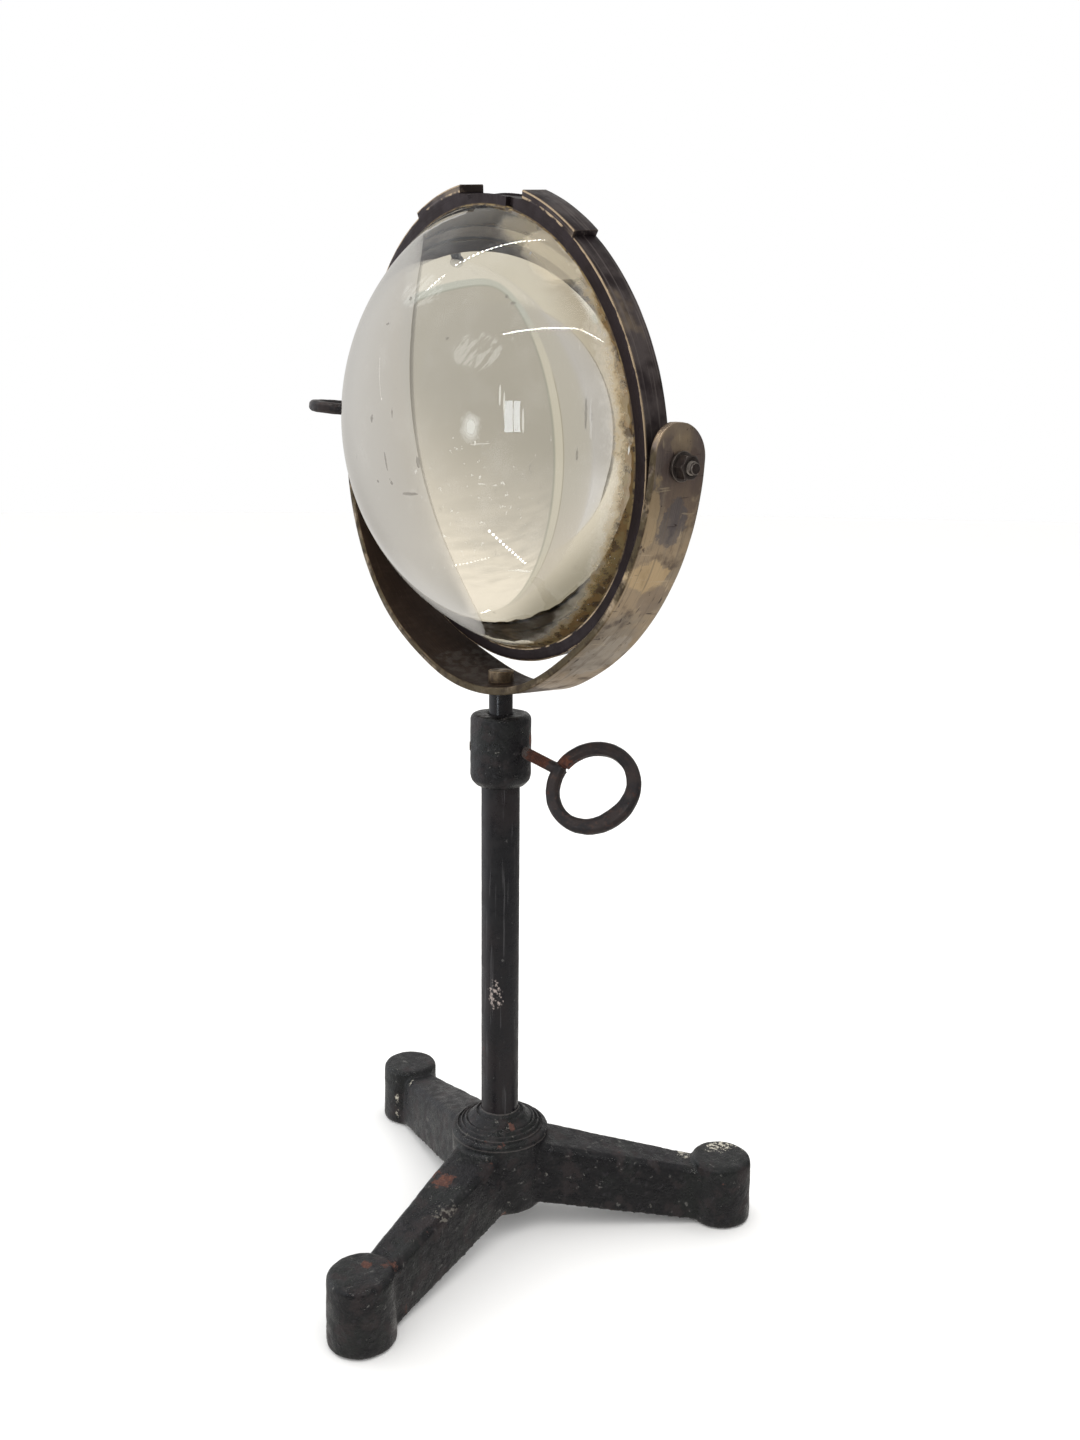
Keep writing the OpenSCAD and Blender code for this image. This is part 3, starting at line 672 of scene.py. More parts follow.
@once
def japanned_iron(name):
    """Old black paint on rough cast iron: greened, browned, dusty, chipped and rusty in places, with pale specks that
    are partly painted glints of the cast grain.
    """
    c = colours()
    f = Finish(name, c.japan, 0.36)
    f.over(f.mottle(55, 0.46, 0.60), c.japan_green, amount=0.4)
    f.over(f.mottle(120, 0.52, 0.64), c.japan_brown, amount=0.8)
    f.over(f.mottle(420, 0.56, 0.68), (0.024, 0.021, 0.025), 0.5, amount=0.5)
    dusty = f.times(spread(f.tree, f.up, 0.35, 0.98), f.mottle(80, 0.38, 0.66))
    f.over(f.times(dusty, f.mottle(600, 0.34, 0.62)), (0.044, 0.039, 0.043), 0.55, amount=0.22)
    f.over(f.wear(0.08, 0.26, 300, 0.30), (0.085, 0.075, 0.070), 0.40, amount=0.6)
    # Pale strokes and specks: partly flecks in the paint, partly painted highlights standing in for the small glints
    # of the cast grain
    for stretch, scale in (((1.0, 0.3, 1.0), 620), ((0.3, 1.0, 0.7), 560)):
        pale_strokes_and_glints = f.specks(scale, 0.10, 0.26, stretched(f.tree, f.here, stretch))
        f.over(pale_strokes_and_glints, (0.135, 0.130, 0.120), 0.5, amount=0.55)
    f.over(f.specks(260, 0.035, 0.22), (0.20, 0.19, 0.165), 0.7, amount=0.5)
    f.over(f.specks(190, 0.035, 0.26), c.rust_dark, 0.8, amount=0.8)
    rusty_places = [
        ((11.2, -39.3, 35.5), (4.4, 5.4, 3.0)), ((3.6, -39.2, 36.0), (2.4, 3.4, 2.6)),
        ((17.0, -13.3, 12.4), (3.0, 3.0, 2.4)), ((16.4, 38.6, 37.0), (2.0, 2.4, 2.0)),
        ((32.9, -89.7, 29.3), (3.0, 1.8, 1.6)), ((37.5, -80.0, 27.0), (3.0, 3.0, 2.6)),
        ((10.1, 7.7, 220.3), (2.6, 2.6, 2.8)), ((12.6, -3.0, 48.0), (2.6, 1.6, 1.6)),
    ]
    for centre, reach in rusty_places:
        spot = f.patch(centre, reach, 420, 2.6)
        f.over(spot, c.rust_dark, 0.85, amount=0.85)
        f.over(f.times(spot, f.mottle(700, 0.50, 0.62)), c.rust, amount=0.7)
    chips = [
        ((58.6, 83.0, 29.3), (5.2, 8.5, 2.5), 0.75), ((-84.6, 4.9, 26.9), (2.2, 3.4, 2.5), 0.7),
        ((50.7, 66.7, 27.0), (3.4, 3.0, 2.5), 0.6), ((67.0, 90.2, 28.0), (2.2, 3.0, 3.0), 0.5),
        ((-93.0, 5.5, 11.0), (1.4, 1.6, 7.5), 0.7), ((29.2, -47.8, 31.5), (7.5, 7.5, 3.0), 0.16),
    ]
    for centre, reach, amount in chips:
        spot = f.times(f.patch(centre, reach, 420, 2.2), f.mottle(520, 0.49, 0.57))
        f.over(spot, c.chip, 0.85, amount=amount)
    f.uneven(240, 0.34)
    f.bumpy(800, 4.0, 0.62, 0.75)
    f.bumpy(170, 3.0, 0.5)
    f.raise_by(f.specks(300, 0.25, 0.3), -0.25)
    return f.done(0.00045, **{"Specular IOR Level": 0.42})


@once
def japanned_tube(name):
    """The same paint on a drawn tube: smoother, with fine upright streaks."""
    c = colours()
    f = Finish(name, (0.0075, 0.0074, 0.0092), 0.34)
    f.over(f.mottle(45, 0.42, 0.62), c.japan_brown, amount=0.5)
    f.over(f.scratches((900.0, 900.0, 30.0), 0.60), (0.055, 0.053, 0.056), 0.45, amount=0.6)
    f.over(f.specks(420, 0.06, 0.24), (0.13, 0.125, 0.12), 0.6, amount=0.6)
    f.over(f.specks(170, 0.03, 0.2), c.rust_dark, 0.8, amount=0.7)
    chip = f.times(f.patch((5.0, -6.6, 107.5), (3.0, 3.0, 6.5), 420, 2.4), f.mottle(700, 0.50, 0.58))
    f.over(chip, (0.42, 0.35, 0.32), 0.85, amount=0.8)
    f.over(f.wear(0.10, 0.3, 300, 0.3), (0.09, 0.08, 0.075), 0.45)
    f.uneven(180, 0.26)
    f.bumpy(500, 3.0, 0.55, 0.5)
    f.bumpy(120, 2.0, 0.5)
    return f.done(0.00014, **{"Specular IOR Level": 0.42})


@once
def dark_steel(name):
    """Plain steel, browned with age, bare on its corners."""
    f = Finish(name, (0.075, 0.062, 0.056), 0.42)
    f.over(f.mottle(240, 0.42, 0.62), (0.040, 0.030, 0.028), 0.55)
    f.over(f.wear(0.07, 0.22, 500, 0.22), (0.30, 0.265, 0.235), 0.34, amount=0.8)
    f.over(f.specks(500, 0.10, 0.3), colours().rust_dark, 0.8, amount=0.7)
    f.uneven(600, 0.2)
    f.bumpy(1500, 3.0, 0.6)
    return f.done(0.00006, metallic=0.85)


@once
def rusty_iron(name):
    """Forged bar gone dark brown, with rusty threads and a rusty cut end."""
    c = colours()
    f = Finish(name, (0.034, 0.025, 0.024), 0.48)
    f.over(f.mottle(150, 0.42, 0.62), (0.018, 0.016, 0.018), 0.4, amount=0.9)
    f.over(f.mottle(420, 0.55, 0.68), (0.070, 0.040, 0.032), 0.6, amount=0.7)
    f.over(f.wear(0.07, 0.2, 420, 0.2), (0.120, 0.100, 0.092), 0.38, amount=0.75)
    threads, cut_end = ((20.5, 0, 0), 6.5), ((31.9, 4.4, 0), 3.6)
    for at, reach in (threads, cut_end):
        centre = clamp_place() @ (Vector(at) * MM)
        spot = f.patch(tuple(centre / MM), (reach,) * 3, 350, 1.3)
        f.over(spot, c.rust_dark, 0.85, amount=0.9)
        f.over(f.times(spot, f.mottle(650, 0.42, 0.6)), c.rust, 0.9, amount=0.75)
    f.over(f.specks(420, 0.12, 0.3), c.rust_dark, 0.85, amount=0.7)
    f.uneven(300, 0.25)
    f.bumpy(700, 4.0, 0.6)
    f.raise_by(f.specks(500, 0.2, 0.3), -0.6)
    return f.done(0.00016, metallic=0.45)


@once
def bronze(name):
    """Tarnished bronze strap: brown and grey clouds, rubbed edges, fine lines along its length."""
    c = colours()
    f = Finish(name, c.bronze, 0.40)
    _, across, out = axes(f.tree, f.along)
    inside = f.between(out, 99.0, 98.3)
    front = f.between(across, -11.6, -12.2)
    f.over(f.mottle(38, 0.40, 0.62), (0.300, 0.258, 0.205), 0.46, amount=0.8)
    f.over(f.mottle(75, 0.50, 0.66), c.bronze_dark, 0.5, amount=0.75)
    f.over(f.mottle(26, 0.54, 0.68), (0.170, 0.135, 0.135), 0.46, amount=0.7)
    clouds = [
        ((99.5, 2.0, 326.0), (12.0, 11.0, 17.0), (0.190, 0.140, 0.120), 0.65),
        ((97.0, 1.0, 313.0), (9.0, 8.0, 9.0), (0.150, 0.140, 0.150), 0.7),
        ((101.0, 0.0, 340.0), (6.0, 6.0, 4.0), (0.420, 0.320, 0.220), 0.6),
        ((97.6, -9.5, 313.0), (5.0, 3.4, 19.0), (0.520, 0.390, 0.240), 0.8),
        ((89.2, -3.0, 294.5), (8.0, 11.0, 6.5), (0.620, 0.460, 0.270), 0.85),
        ((84.0, 5.0, 285.0), (8.0, 7.0, 7.0), (0.250, 0.195, 0.155), 0.5),
        ((62.0, 1.0, 262.0), (17.0, 12.0, 13.0), (0.430, 0.375, 0.310), 0.75),
    ]
    for centre, reach, colour, amount in clouds:
        f.over(f.patch(centre, reach, 110, 1.6), colour, amount=amount)
    f.over(f.scratches((22.0, 700.0, 300.0), 0.56, f.along), (0.22, 0.175, 0.135), amount=0.5)
    f.over(f.specks(330, 0.14, 0.24), (0.060, 0.044, 0.038), 0.7, amount=0.75)
    f.over(f.specks(110, 0.10, 0.22), (0.075, 0.052, 0.048), 0.7, amount=0.7)
    for way in ((500.0, 60.0, 500.0), (90.0, 420.0, 300.0)):
        f.over(f.scratches(way, 0.67, f.along), (0.62, 0.50, 0.34), 0.35, amount=0.5)
        crossing = f.scratches(way, 0.66, stretched(f.tree, f.along, (-1.0, 1.0, 1.3)))
        f.over(crossing, (0.075, 0.055, 0.050), 0.55, amount=0.75)
    f.over(inside, (0.060, 0.039, 0.029), 0.5)
    f.over(f.times(inside, f.scratches((420.0, 60.0, 90.0), 0.54, f.along)), (0.075, 0.050, 0.038), amount=0.5)
    low = f.patch((-22.0, 4.0, 248.0), (30.0, 14.0, 8.0), 90, 1.6)
    f.over(f.times(inside, low, f.mottle(300, 0.4, 0.6)), (0.160, 0.140, 0.125), 0.6, amount=0.7)
    f.over(f.wear(0.05, 0.16, 160, 0.16), (0.40, 0.30, 0.19), 0.34, amount=0.7)
    f.over(f.times(front, f.mottle(90, 0.34, 0.52)), (0.105, 0.080, 0.046), 0.5, amount=0.95)
    f.over(f.times(front, f.mottle(240, 0.50, 0.62)), (0.070, 0.050, 0.036), 0.6, amount=0.8)
    f.uneven(150, 0.2)
    f.raise_by(f.scratches((18.0, 800.0, 300.0), 0.5, f.along), 0.35)
    f.bumpy(260, 4.0, 0.6)
    f.raise_by(f.specks(330, 0.14, 0.24), -0.5)
    return f.done(0.00011, metallic=0.88)


@once
def dark_brass(name):
    """Dark purple-brown patina on turned brass, bare along its edges, with painted shade darkening the top of the
    ring.
    """
    c = colours()
    f = Finish(name, c.patina, 0.42)
    round_it, across, out = axes(f.tree, f.along)
    outside = f.between(out, 91.0, 91.6)
    f.over(f.mottle(60, 0.44, 0.60), (0.030, 0.021, 0.021), 0.46, amount=0.8)
    f.over(f.times(outside, f.mottle(42, 0.42, 0.60)), (0.135, 0.112, 0.108), 0.44, amount=0.7)
    f.over(f.times(outside, f.mottle(36, 0.54, 0.64)), (0.260, 0.200, 0.140), 0.4, amount=0.6)
    turning_marks = f.scratches((14.0, 900.0, 900.0), 0.56, f.along)
    f.over(f.times(outside, turning_marks), (0.20, 0.17, 0.16), 0.45, amount=0.45)
    # Painted shade: a dark patch on the upward face at the top of the ring, so that it mirrors less of the bright sky
    f.over(f.patch((-4.0, -6.0, 438.0), (26.0, 16.0, 6.0), 90, 1.0), (0.026, 0.019, 0.021), 0.5, amount=0.85)
    f.over(f.specks(260, 0.08, 0.24), (0.018, 0.013, 0.013), 0.6, amount=0.8)
    front = f.between(across, 6.2, 6.6)
    lip = f.times(f.between(out, 90.95, 91.2), f.between(out, 91.95, 91.8))
    outer_edge = f.times(front, greater(f.tree, lip, f.between(out, 93.2, 93.45)))
    f.over(f.times(f.wear(0.06, 0.10, 120, 0.34), outer_edge), c.brass, 0.3, amount=0.9)
    mouth = f.times(front, f.between(out, 86.9, 86.6))
    low = f.times(f.between(round_it, -185, -165), f.between(round_it, -30, -60))
    f.over(f.times(mouth, low, f.mottle(90, 0.36, 0.5)), (0.72, 0.55, 0.36), 0.28, amount=0.95)
    f.over(f.wear(0.16, 0.30, 300, 0.20), (0.22, 0.17, 0.12), 0.36, amount=0.5)
    f.uneven(200, 0.2)
    f.raise_by(f.scratches((10.0, 1000.0, 1000.0), 0.5, f.along), 0.3)
    f.bumpy(420, 3.0, 0.6)
    return f.done(0.00006, metallic=0.80)


@once
def aged_brass(name):
    """Plain brass, dulled, for the screw, nuts and washers."""
    c = colours()
    f = Finish(name, (0.205, 0.150, 0.095), 0.42)
    f.over(f.mottle(260, 0.42, 0.64), (0.080, 0.058, 0.042), 0.55, amount=0.85)
    f.over(f.specks(600, 0.14, 0.28), (0.040, 0.028, 0.022), 0.7, amount=0.8)
    f.over(f.wear(0.06, 0.2, 500, 0.2), c.brass, 0.32, amount=0.8)
    f.uneven(500, 0.2)
    f.bumpy(1400, 3.0, 0.6)
    return f.done(0.00005, metallic=0.9)


@once
def lens_glass(name):
    """Clear polished glass."""
    material = bpy.data.materials.new(name)
    tree = emptied(material)
    here = put(tree, "ShaderNodeTexCoord").outputs["Object"]
    colour = blend(tree, grain(tree, here, 30, 2.0), colours().glass, (0.975, 0.975, 0.95))
    ins = {"Base Color": colour, "Roughness": 0.0, "IOR": 1.52, "Transmission Weight": 1.0, "Metallic": 0.0}
    shown(tree, put(tree, "ShaderNodeBsdfPrincipled", {}, ins))
    return material


@once
def glass_film(name):
    """What lies on the dome: a stained rim, dust, pits and fine scratches, clear elsewhere, and one soft highlight
    painted on as a milky spot.
    """
    c = colours()
    f = Finish(name, (0.86, 0.86, 0.84), 0.5)
    tree = f.tree
    rim, side = attribute(tree, "rim"), attribute(tree, "side")
    ragged = maths(tree, "SUBTRACT", grain(tree, f.here, 170, 5.0, 0.7), 0.5)
    edge = plus(tree, plus(tree, rim, f.times(ragged, 0.42)), f.times(side, 0.30))
    stain, crust = spread(tree, edge, 0.82, 1.16), spread(tree, edge, 1.06, 1.16)
    dark = f.times(crust, f.mottle(210, 0.48, 0.60))
    pale = f.times(crust, f.times(f.mottle(150, 0.50, 0.58), spread(tree, side, 0.55, 0.85)))
    marks = []

    def mark(mask, colour, alpha, rough=None):
        f.over(mask, colour, rough)
        marks.append((mask, alpha))

    mark(stain, (0.42, 0.29, 0.11), 0.62)
    mark(crust, (0.23, 0.135, 0.045), 0.75, 0.7)
    mark(pale, c.stain, 0.6, 0.7)
    mark(dark, (0.085, 0.050, 0.020), 0.88, 0.8)
    marks.append((f.mottle(60, 0.45, 0.8), 0.06))

    # The yellow haze on the upper right, then dust, fine scratches and hairs all over
    haze = [((52.0, -20.0, 408.0), (30.0, 14.0, 19.0), 0.16), ((56.0, -18.0, 406.0), (22.0, 12.0, 13.0), 0.34)]
    for centre, reach, alpha in haze:
        mark(f.times(f.patch(centre, reach, 60, 0.9), spread(tree, rim, 0.30, 0.70)), (0.82, 0.72, 0.54), alpha)
    upright, level = stretched(tree, f.here, (1.0, 1.0, 0.2)), stretched(tree, f.here, (0.16, 0.16, 1.0))
    mark(f.specks(330, 0.045, 0.13), (0.16, 0.15, 0.13), 0.5)
    mark(f.scratches((700.0, 700.0, 60.0), 0.69), (0.86, 0.86, 0.84), 0.14)
    mark(f.specks(520, 0.035, 0.20, upright), (0.12, 0.11, 0.10), 0.30)

    # Bright dust low on the dome and two wiped spots above it
    glare = (0.96, 0.96, 0.90)
    lower = f.patch((38.0, -44.0, 322.0), (27.0, 22.0, 26.0), 90, 1.4)
    lowest = f.patch((32.0, -31.0, 292.0), (24.0, 16.0, 12.0), 120, 1.4)
    mark(f.times(lower, f.specks(420, 0.30, 0.24)), glare, 0.42)
    mark(f.times(lower, f.specks(500, 0.12, 0.20)), (0.30, 0.27, 0.22), 0.30)
    mark(f.times(lower, f.specks(420, 0.22, 0.22, level)), glare, 0.26)
    slant = put(tree, "ShaderNodeMapping", {}, {0: f.here, 2: (0.0, math.radians(52), 0.0)}).outputs[0]
    brush = f.scratches((130.0, 130.0, 700.0), 0.46, slant)
    for centre, alpha in (((44.0, -45.0, 372.0), 0.13), ((13.0, -46.5, 394.0), 0.12)):
        mark(f.times(f.patch(centre, (12.0, 8.0, 7.0), 60, 0.8), brush), glare, alpha)
    mark(f.times(lowest, f.specks(300, 0.26, 0.26, level)), glare, 0.40)

    # A painted soft highlight, a milky spot that fades outwards; three bright upright hairs, then the dark hairs and
    # pits one by one
    for size, alpha in ((6.4, 0.10), (5.2, 0.18), (4.1, 0.26), (2.6, 0.38)):
        mark(f.patch((44.8, -48.0, 346.0), (0.72 * size, 0.72 * size, size), 240, 1.1), (0.94, 0.96, 0.92), alpha)
    for centre in ((54.3, -42.3, 357.0), (55.6, -41.4, 353.0), (61.2, -37.5, 348.0)):
        mark(f.patch(centre, (0.4, 0.4, 5.0), 300, 0.4), glare, 0.35)
    hairs = [
        ((3.8, -57.3, 334.2), (0.6, 1.4, 4.6)), ((4.9, -55.5, 326.2), (0.9, 0.9, 0.9)),
        ((-4.6, -55.6, 326.6), (0.7, 0.7, 0.7)), ((21.8, -54.9, 333.7), (0.9, 0.9, 3.0)),
        ((-3.5, -58.6, 349.9), (1.0, 0.6, 1.6)), ((10.1, -58.2, 351.4), (0.5, 0.6, 1.8)),
        ((9.0, -48.8, 392.3), (0.8, 0.8, 0.9)), ((-0.6, -52.7, 383.9), (1.5, 1.0, 0.5)),
        ((32.8, -49.4, 376.6), (0.8, 0.8, 0.6)), ((49.2, -35.6, 390.5), (0.7, 0.7, 1.2)),
        ((52.2, -34.9, 388.0), (1.7, 1.0, 0.7)), ((76.6, -22.2, 350.8), (0.5, 0.5, 7.0)),
        ((78.3, -20.8, 349.0), (0.5, 0.5, 6.0)), ((74.1, -23.8, 336.7), (0.5, 0.5, 3.0)),
        ((14.3, -53.5, 322.3), (4.6, 2.0, 0.7)),
    ]
    for centre, reach in hairs:
        mark(f.patch(centre, reach, 900, 1.6), (0.090, 0.080, 0.070), 0.42)
    opacity = 0.0
    for mask, alpha in marks:
        opacity = greater(tree, opacity, f.times(mask, alpha))
    return f.done(Alpha=opacity)


@once
def rim_cement(name):
    """Old yellow-brown cement between the glass and its ring."""
    f = Finish(name, colours().stain, 0.75)
    f.over(f.mottle(160, 0.42, 0.6), (0.100, 0.062, 0.028))
    f.over(f.mottle(420, 0.5, 0.64), (0.040, 0.026, 0.016))
    f.bumpy(700, 4.0, 0.65)
    return f.done(0.0003)


@once
def seal_look(name):
    """The ground rim of the glass and the old cement behind it, dark above and below; the pale bands on one side are
    painted light.
    """
    f = Finish(name, (0.110, 0.080, 0.050), 0.8)
    round_it, _, out = axes(f.tree, f.along)

    def stretch(low, high):
        """Part of the way round, where 0 is at the lower pivot, and 1 and -1 are at the upper one."""
        return spread(f.tree, round_it, low, high)

    f.over(f.mottle(150, 0.42, 0.6), (0.165, 0.128, 0.085))
    # Painted light: a pale stretch where the rim is lit strongly from behind
    f.over(stretch(-0.10, -0.30), (0.340, 0.295, 0.255), amount=0.8)
    f.over(greater(f.tree, stretch(0.88, 0.92), stretch(-0.84, -0.95)), (0.260, 0.195, 0.125))
    # Painted light: a pale band on the flat annulus, beside the lit rim
    f.over(f.times(stretch(-0.75, -0.78), stretch(-0.97, -0.84)), (0.640, 0.540, 0.400), amount=0.9)
    rim = f.between(out, 86.0, 86.6)
    f.over(f.times(rim, stretch(0.85, 0.90)), (0.560, 0.480, 0.300))
    # Painted light: the rim painted near white to make up for the ring's shadow over it
    f.over(f.times(rim, stretch(-0.74, -0.765)), (0.980, 0.900, 0.700))
    f.over(f.scratches((10.0, 700.0, 160.0), 0.55, f.along), (0.300, 0.230, 0.150), amount=0.5)
    return f.done()


# Pieces


class LENSSTAND_OT_casting(bpy.types.Operator):
    """Makes the tripod casting, with its ridged crown"""

    bl_idname = "lens_stand.casting"
    bl_label = "Tripod casting"

    def execute(self, context):
        z = sizes()
        shape = shape_of(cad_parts["tripod_casting"].data)
        bmesh.ops.remove_doubles(shape, verts=shape.verts, dist=2e-6)
        bmesh.ops.bisect_plane(
            shape, geom=shape.verts[:] + shape.edges[:] + shape.faces[:], dist=TINY,
            plane_co=(0, 0, z.hub_rim - 2.4 * MM), plane_no=(0, 0, 1), clear_outer=True,
        )
        capped(shape)
        casting = as_object(shape, "tripod_casting_iron")
        skinned(casting, 0.76 * MM)
        shape = shape_of(casting.data)
        hollows(shape, 0.22 * MM, 14 * MM, 3)
        hollows(shape, 0.10 * MM, 3.2 * MM, 5)
        for v in shape.verts:
            v.co.z = max(v.co.z, 0.0)
        stored(shape, casting.data)
        finished(casting, "stand", japanned_iron, "tripod_casting", crease=60, soften=2)
        finished(self.crown(z), "stand", japanned_iron, "tripod_casting", crease=50)
        return {"FINISHED"}

    def crown(self, z):
        """The turned top of the hub: a rounded rim, then ridges up a cone to the column."""
        foot, edge = z.hub_rim - 3.1 * MM, 2.2 * MM
        side = z.hub_r - 0.02 * MM
        slope_r, inner = z.hub_r - 2.0 * MM, z.column_r + 0.05 * MM
        outline = [(inner, foot), (side, foot), (side, z.hub_rim - edge)]
        outline += arc((z.hub_r - edge, z.hub_rim - edge), edge, range(15, 91, 15))
        ridges = ((20.0, 1.5), (17.3, 0.75), (15.3, 0.6), (11.0, 1.0))  # radius and size, in millimetres
        high, deep = 0.80 * MM, 0.42 * MM
        r = slope_r - 0.6 * MM
        while r > inner + 0.3 * MM:
            rise = (z.crown_top - 0.9 * MM - z.hub_rim) * (slope_r - r) / (slope_r - inner)
            for place, size in ridges:
                gap = (r - place * MM) / MM / size
                rise += high * size * max(0.0, 1 - gap * gap) - deep * math.exp(-((gap + 1.25) ** 2) * 6)
            outline.append((r, z.hub_rim + rise - 0.1 * MM))
            r -= 0.25 * MM
        outline.append((inner, z.crown_top - 0.1 * MM))
        shape = turned(outline, 300)
        hollows(shape, 0.14 * MM, 2.6 * MM, 8)
        return as_object(shape, "hub_crown")


class LENSSTAND_OT_column(bpy.types.Operator):
    """Makes the column tube, the sliding rod, and the nut and washer under the hub"""

    bl_idname = "lens_stand.column"
    bl_label = "Column and rod"

    def execute(self, context):
        z = sizes()
        foot, seat, bore = 13.9 * MM, 40.0 * MM, 74.0 * MM
        outline = [
            (0, foot), (z.spigot_r, foot), (z.spigot_r, seat), (z.column_r, seat), (z.column_r, z.column_top),
            (z.bore_r, z.column_top), (z.bore_r, bore), (0, bore),
        ]
        shape = turned(dense(softened(outline, 0.5 * MM, closed=False), 2.5 * MM, False), 120, closed=False)
        hollows(shape, 0.045 * MM, 6 * MM, 2)
        finished(as_object(shape, "column"), "stand", japanned_tube, "column_tube")

        tap, tap_r = z.rod_top - 15 * MM, 3.03 * MM
        outline = [
            (0, z.rod_foot), (4.2 * MM, z.rod_foot), (z.rod_r, z.rod_foot + 0.8 * MM), (z.rod_r, z.rod_top),
            (tap_r, z.rod_top), (tap_r, tap), (0, tap),
        ]
        shape = turned(softened(outline, 0.25 * MM, 2, closed=False), 96, closed=False)
        finished(as_object(shape, "slide_rod_steel"), "rod", japanned_tube, "slide_rod")

        hole, low, t = 6.03 * MM, 22.4 * MM, 1.6 * MM
        shape = turned(softened(slab(hole, 12 * MM, low, low + t), 0.35 * MM), 96)
        finished(as_object(shape, "hub_washer"), "stand", dark_steel, "column_washer")
        nut = hexagon("hub_nut", 19 * MM, 7 * MM, hole, raised(low - 7 * MM), True, 0.3 * MM)
        finished(nut, "stand", dark_steel, "column_nut", crease=50)
        return {"FINISHED"}


def hexagon(name, flats, height, bore, place, low_side, voxel=0.16 * MM):
    """A hexagon nut along Z from 0, its corners turned off on one side, with softened edges."""
    shape = bmesh.new()
    corner_r = flats / math.sqrt(3)
    bmesh.ops.create_cone(shape, cap_ends=True, segments=6, radius1=corner_r, radius2=corner_r, depth=height)
    nut = as_object(moved(shape, raised(height / 2) @ rolled(90, "Z")), name)
    small, large = flats / 2 - 0.25 * MM, flats / 2 + height * 1.6
    below, above = (small, large) if low_side else (large, small)
    foot, top = -0.01 * MM, height + 0.01 * MM
    cut(nut, [turned([(0, foot), (below, foot), (above, top), (0, top)], 96, closed=False)], "INTERSECT")
    mouth, edge, bevel = bore + 1.2 * MM, bore + 0.45 * MM, 0.4 * MM
    hole = [
        (0, -height), (mouth, -height), (edge, 0), (bore, bevel),
        (bore, height - bevel), (edge, height), (mouth, height * 2), (0, height * 2),
    ]
    cut(nut, [turned(hole, 64, closed=False)])
    skinned(nut, voxel)
    nut.data.transform(place)
    return nut


class LENSSTAND_OT_collar(bpy.types.Operator):
    """Makes the socket collar and its grub screw"""

    bl_idname = "lens_stand.collar"
    bl_label = "Socket collar"

    def execute(self, context):
        z = sizes()
        low, high = z.collar_z - 0.9 * MM, z.collar_z + z.collar_h
        wide = z.collar_r + 0.3 * MM
        seat, edge = z.column_r + 0.03 * MM, 2.6 * MM
        outline = [
            (seat, low), (wide - 2.9 * MM, low), (wide - 0.5 * MM, low + 2.6 * MM), (wide, low + 5.0 * MM),
            *arc((wide - edge, high - edge), edge, range(0, 91, 15)),
            (z.bore_r + 0.9 * MM, high), (z.bore_r, high - 0.9 * MM), (z.bore_r, z.column_top), (seat, z.column_top),
        ]
        shape = turned(dense(softened(outline, 0.7 * MM, 2), 1.0 * MM), 160)
        hollows(shape, 0.14 * MM, 5 * MM, 4)
        collar = as_object(shape, "collar")
        grub_r, at_grub = 2 * MM, raised(217 * MM) @ rolled(233, "Z")
        cut(collar, [
            rod_cutter(clamp_place(), z.screw_r + 0.08 * MM, 1 * MM, 30 * MM),
            rod_cutter(at_grub, grub_r + 0.03 * MM, 1 * MM, 30 * MM),
        ])
        finished(collar, "stand", japanned_iron, "socket_collar", crease=45)

        start, end = z.bore_r + 0.3 * MM, z.collar_r + 0.5 * MM
        grub = turned(softened(slab(0, grub_r, start, end), 0.4 * MM, closed=False), 40, closed=False)
        screw = as_object(moved(grub, at_grub @ ALONG_X), "grub_screw")
        cut(screw, [box_cutter(at_grub, (end - 0.8 * MM, -0.4 * MM, -3 * MM), (end + 2 * MM, 0.4 * MM, 3 * MM))])
        finished(screw, "stand", dark_steel, "collar_grub_screw", crease=30)
        return {"FINISHED"}


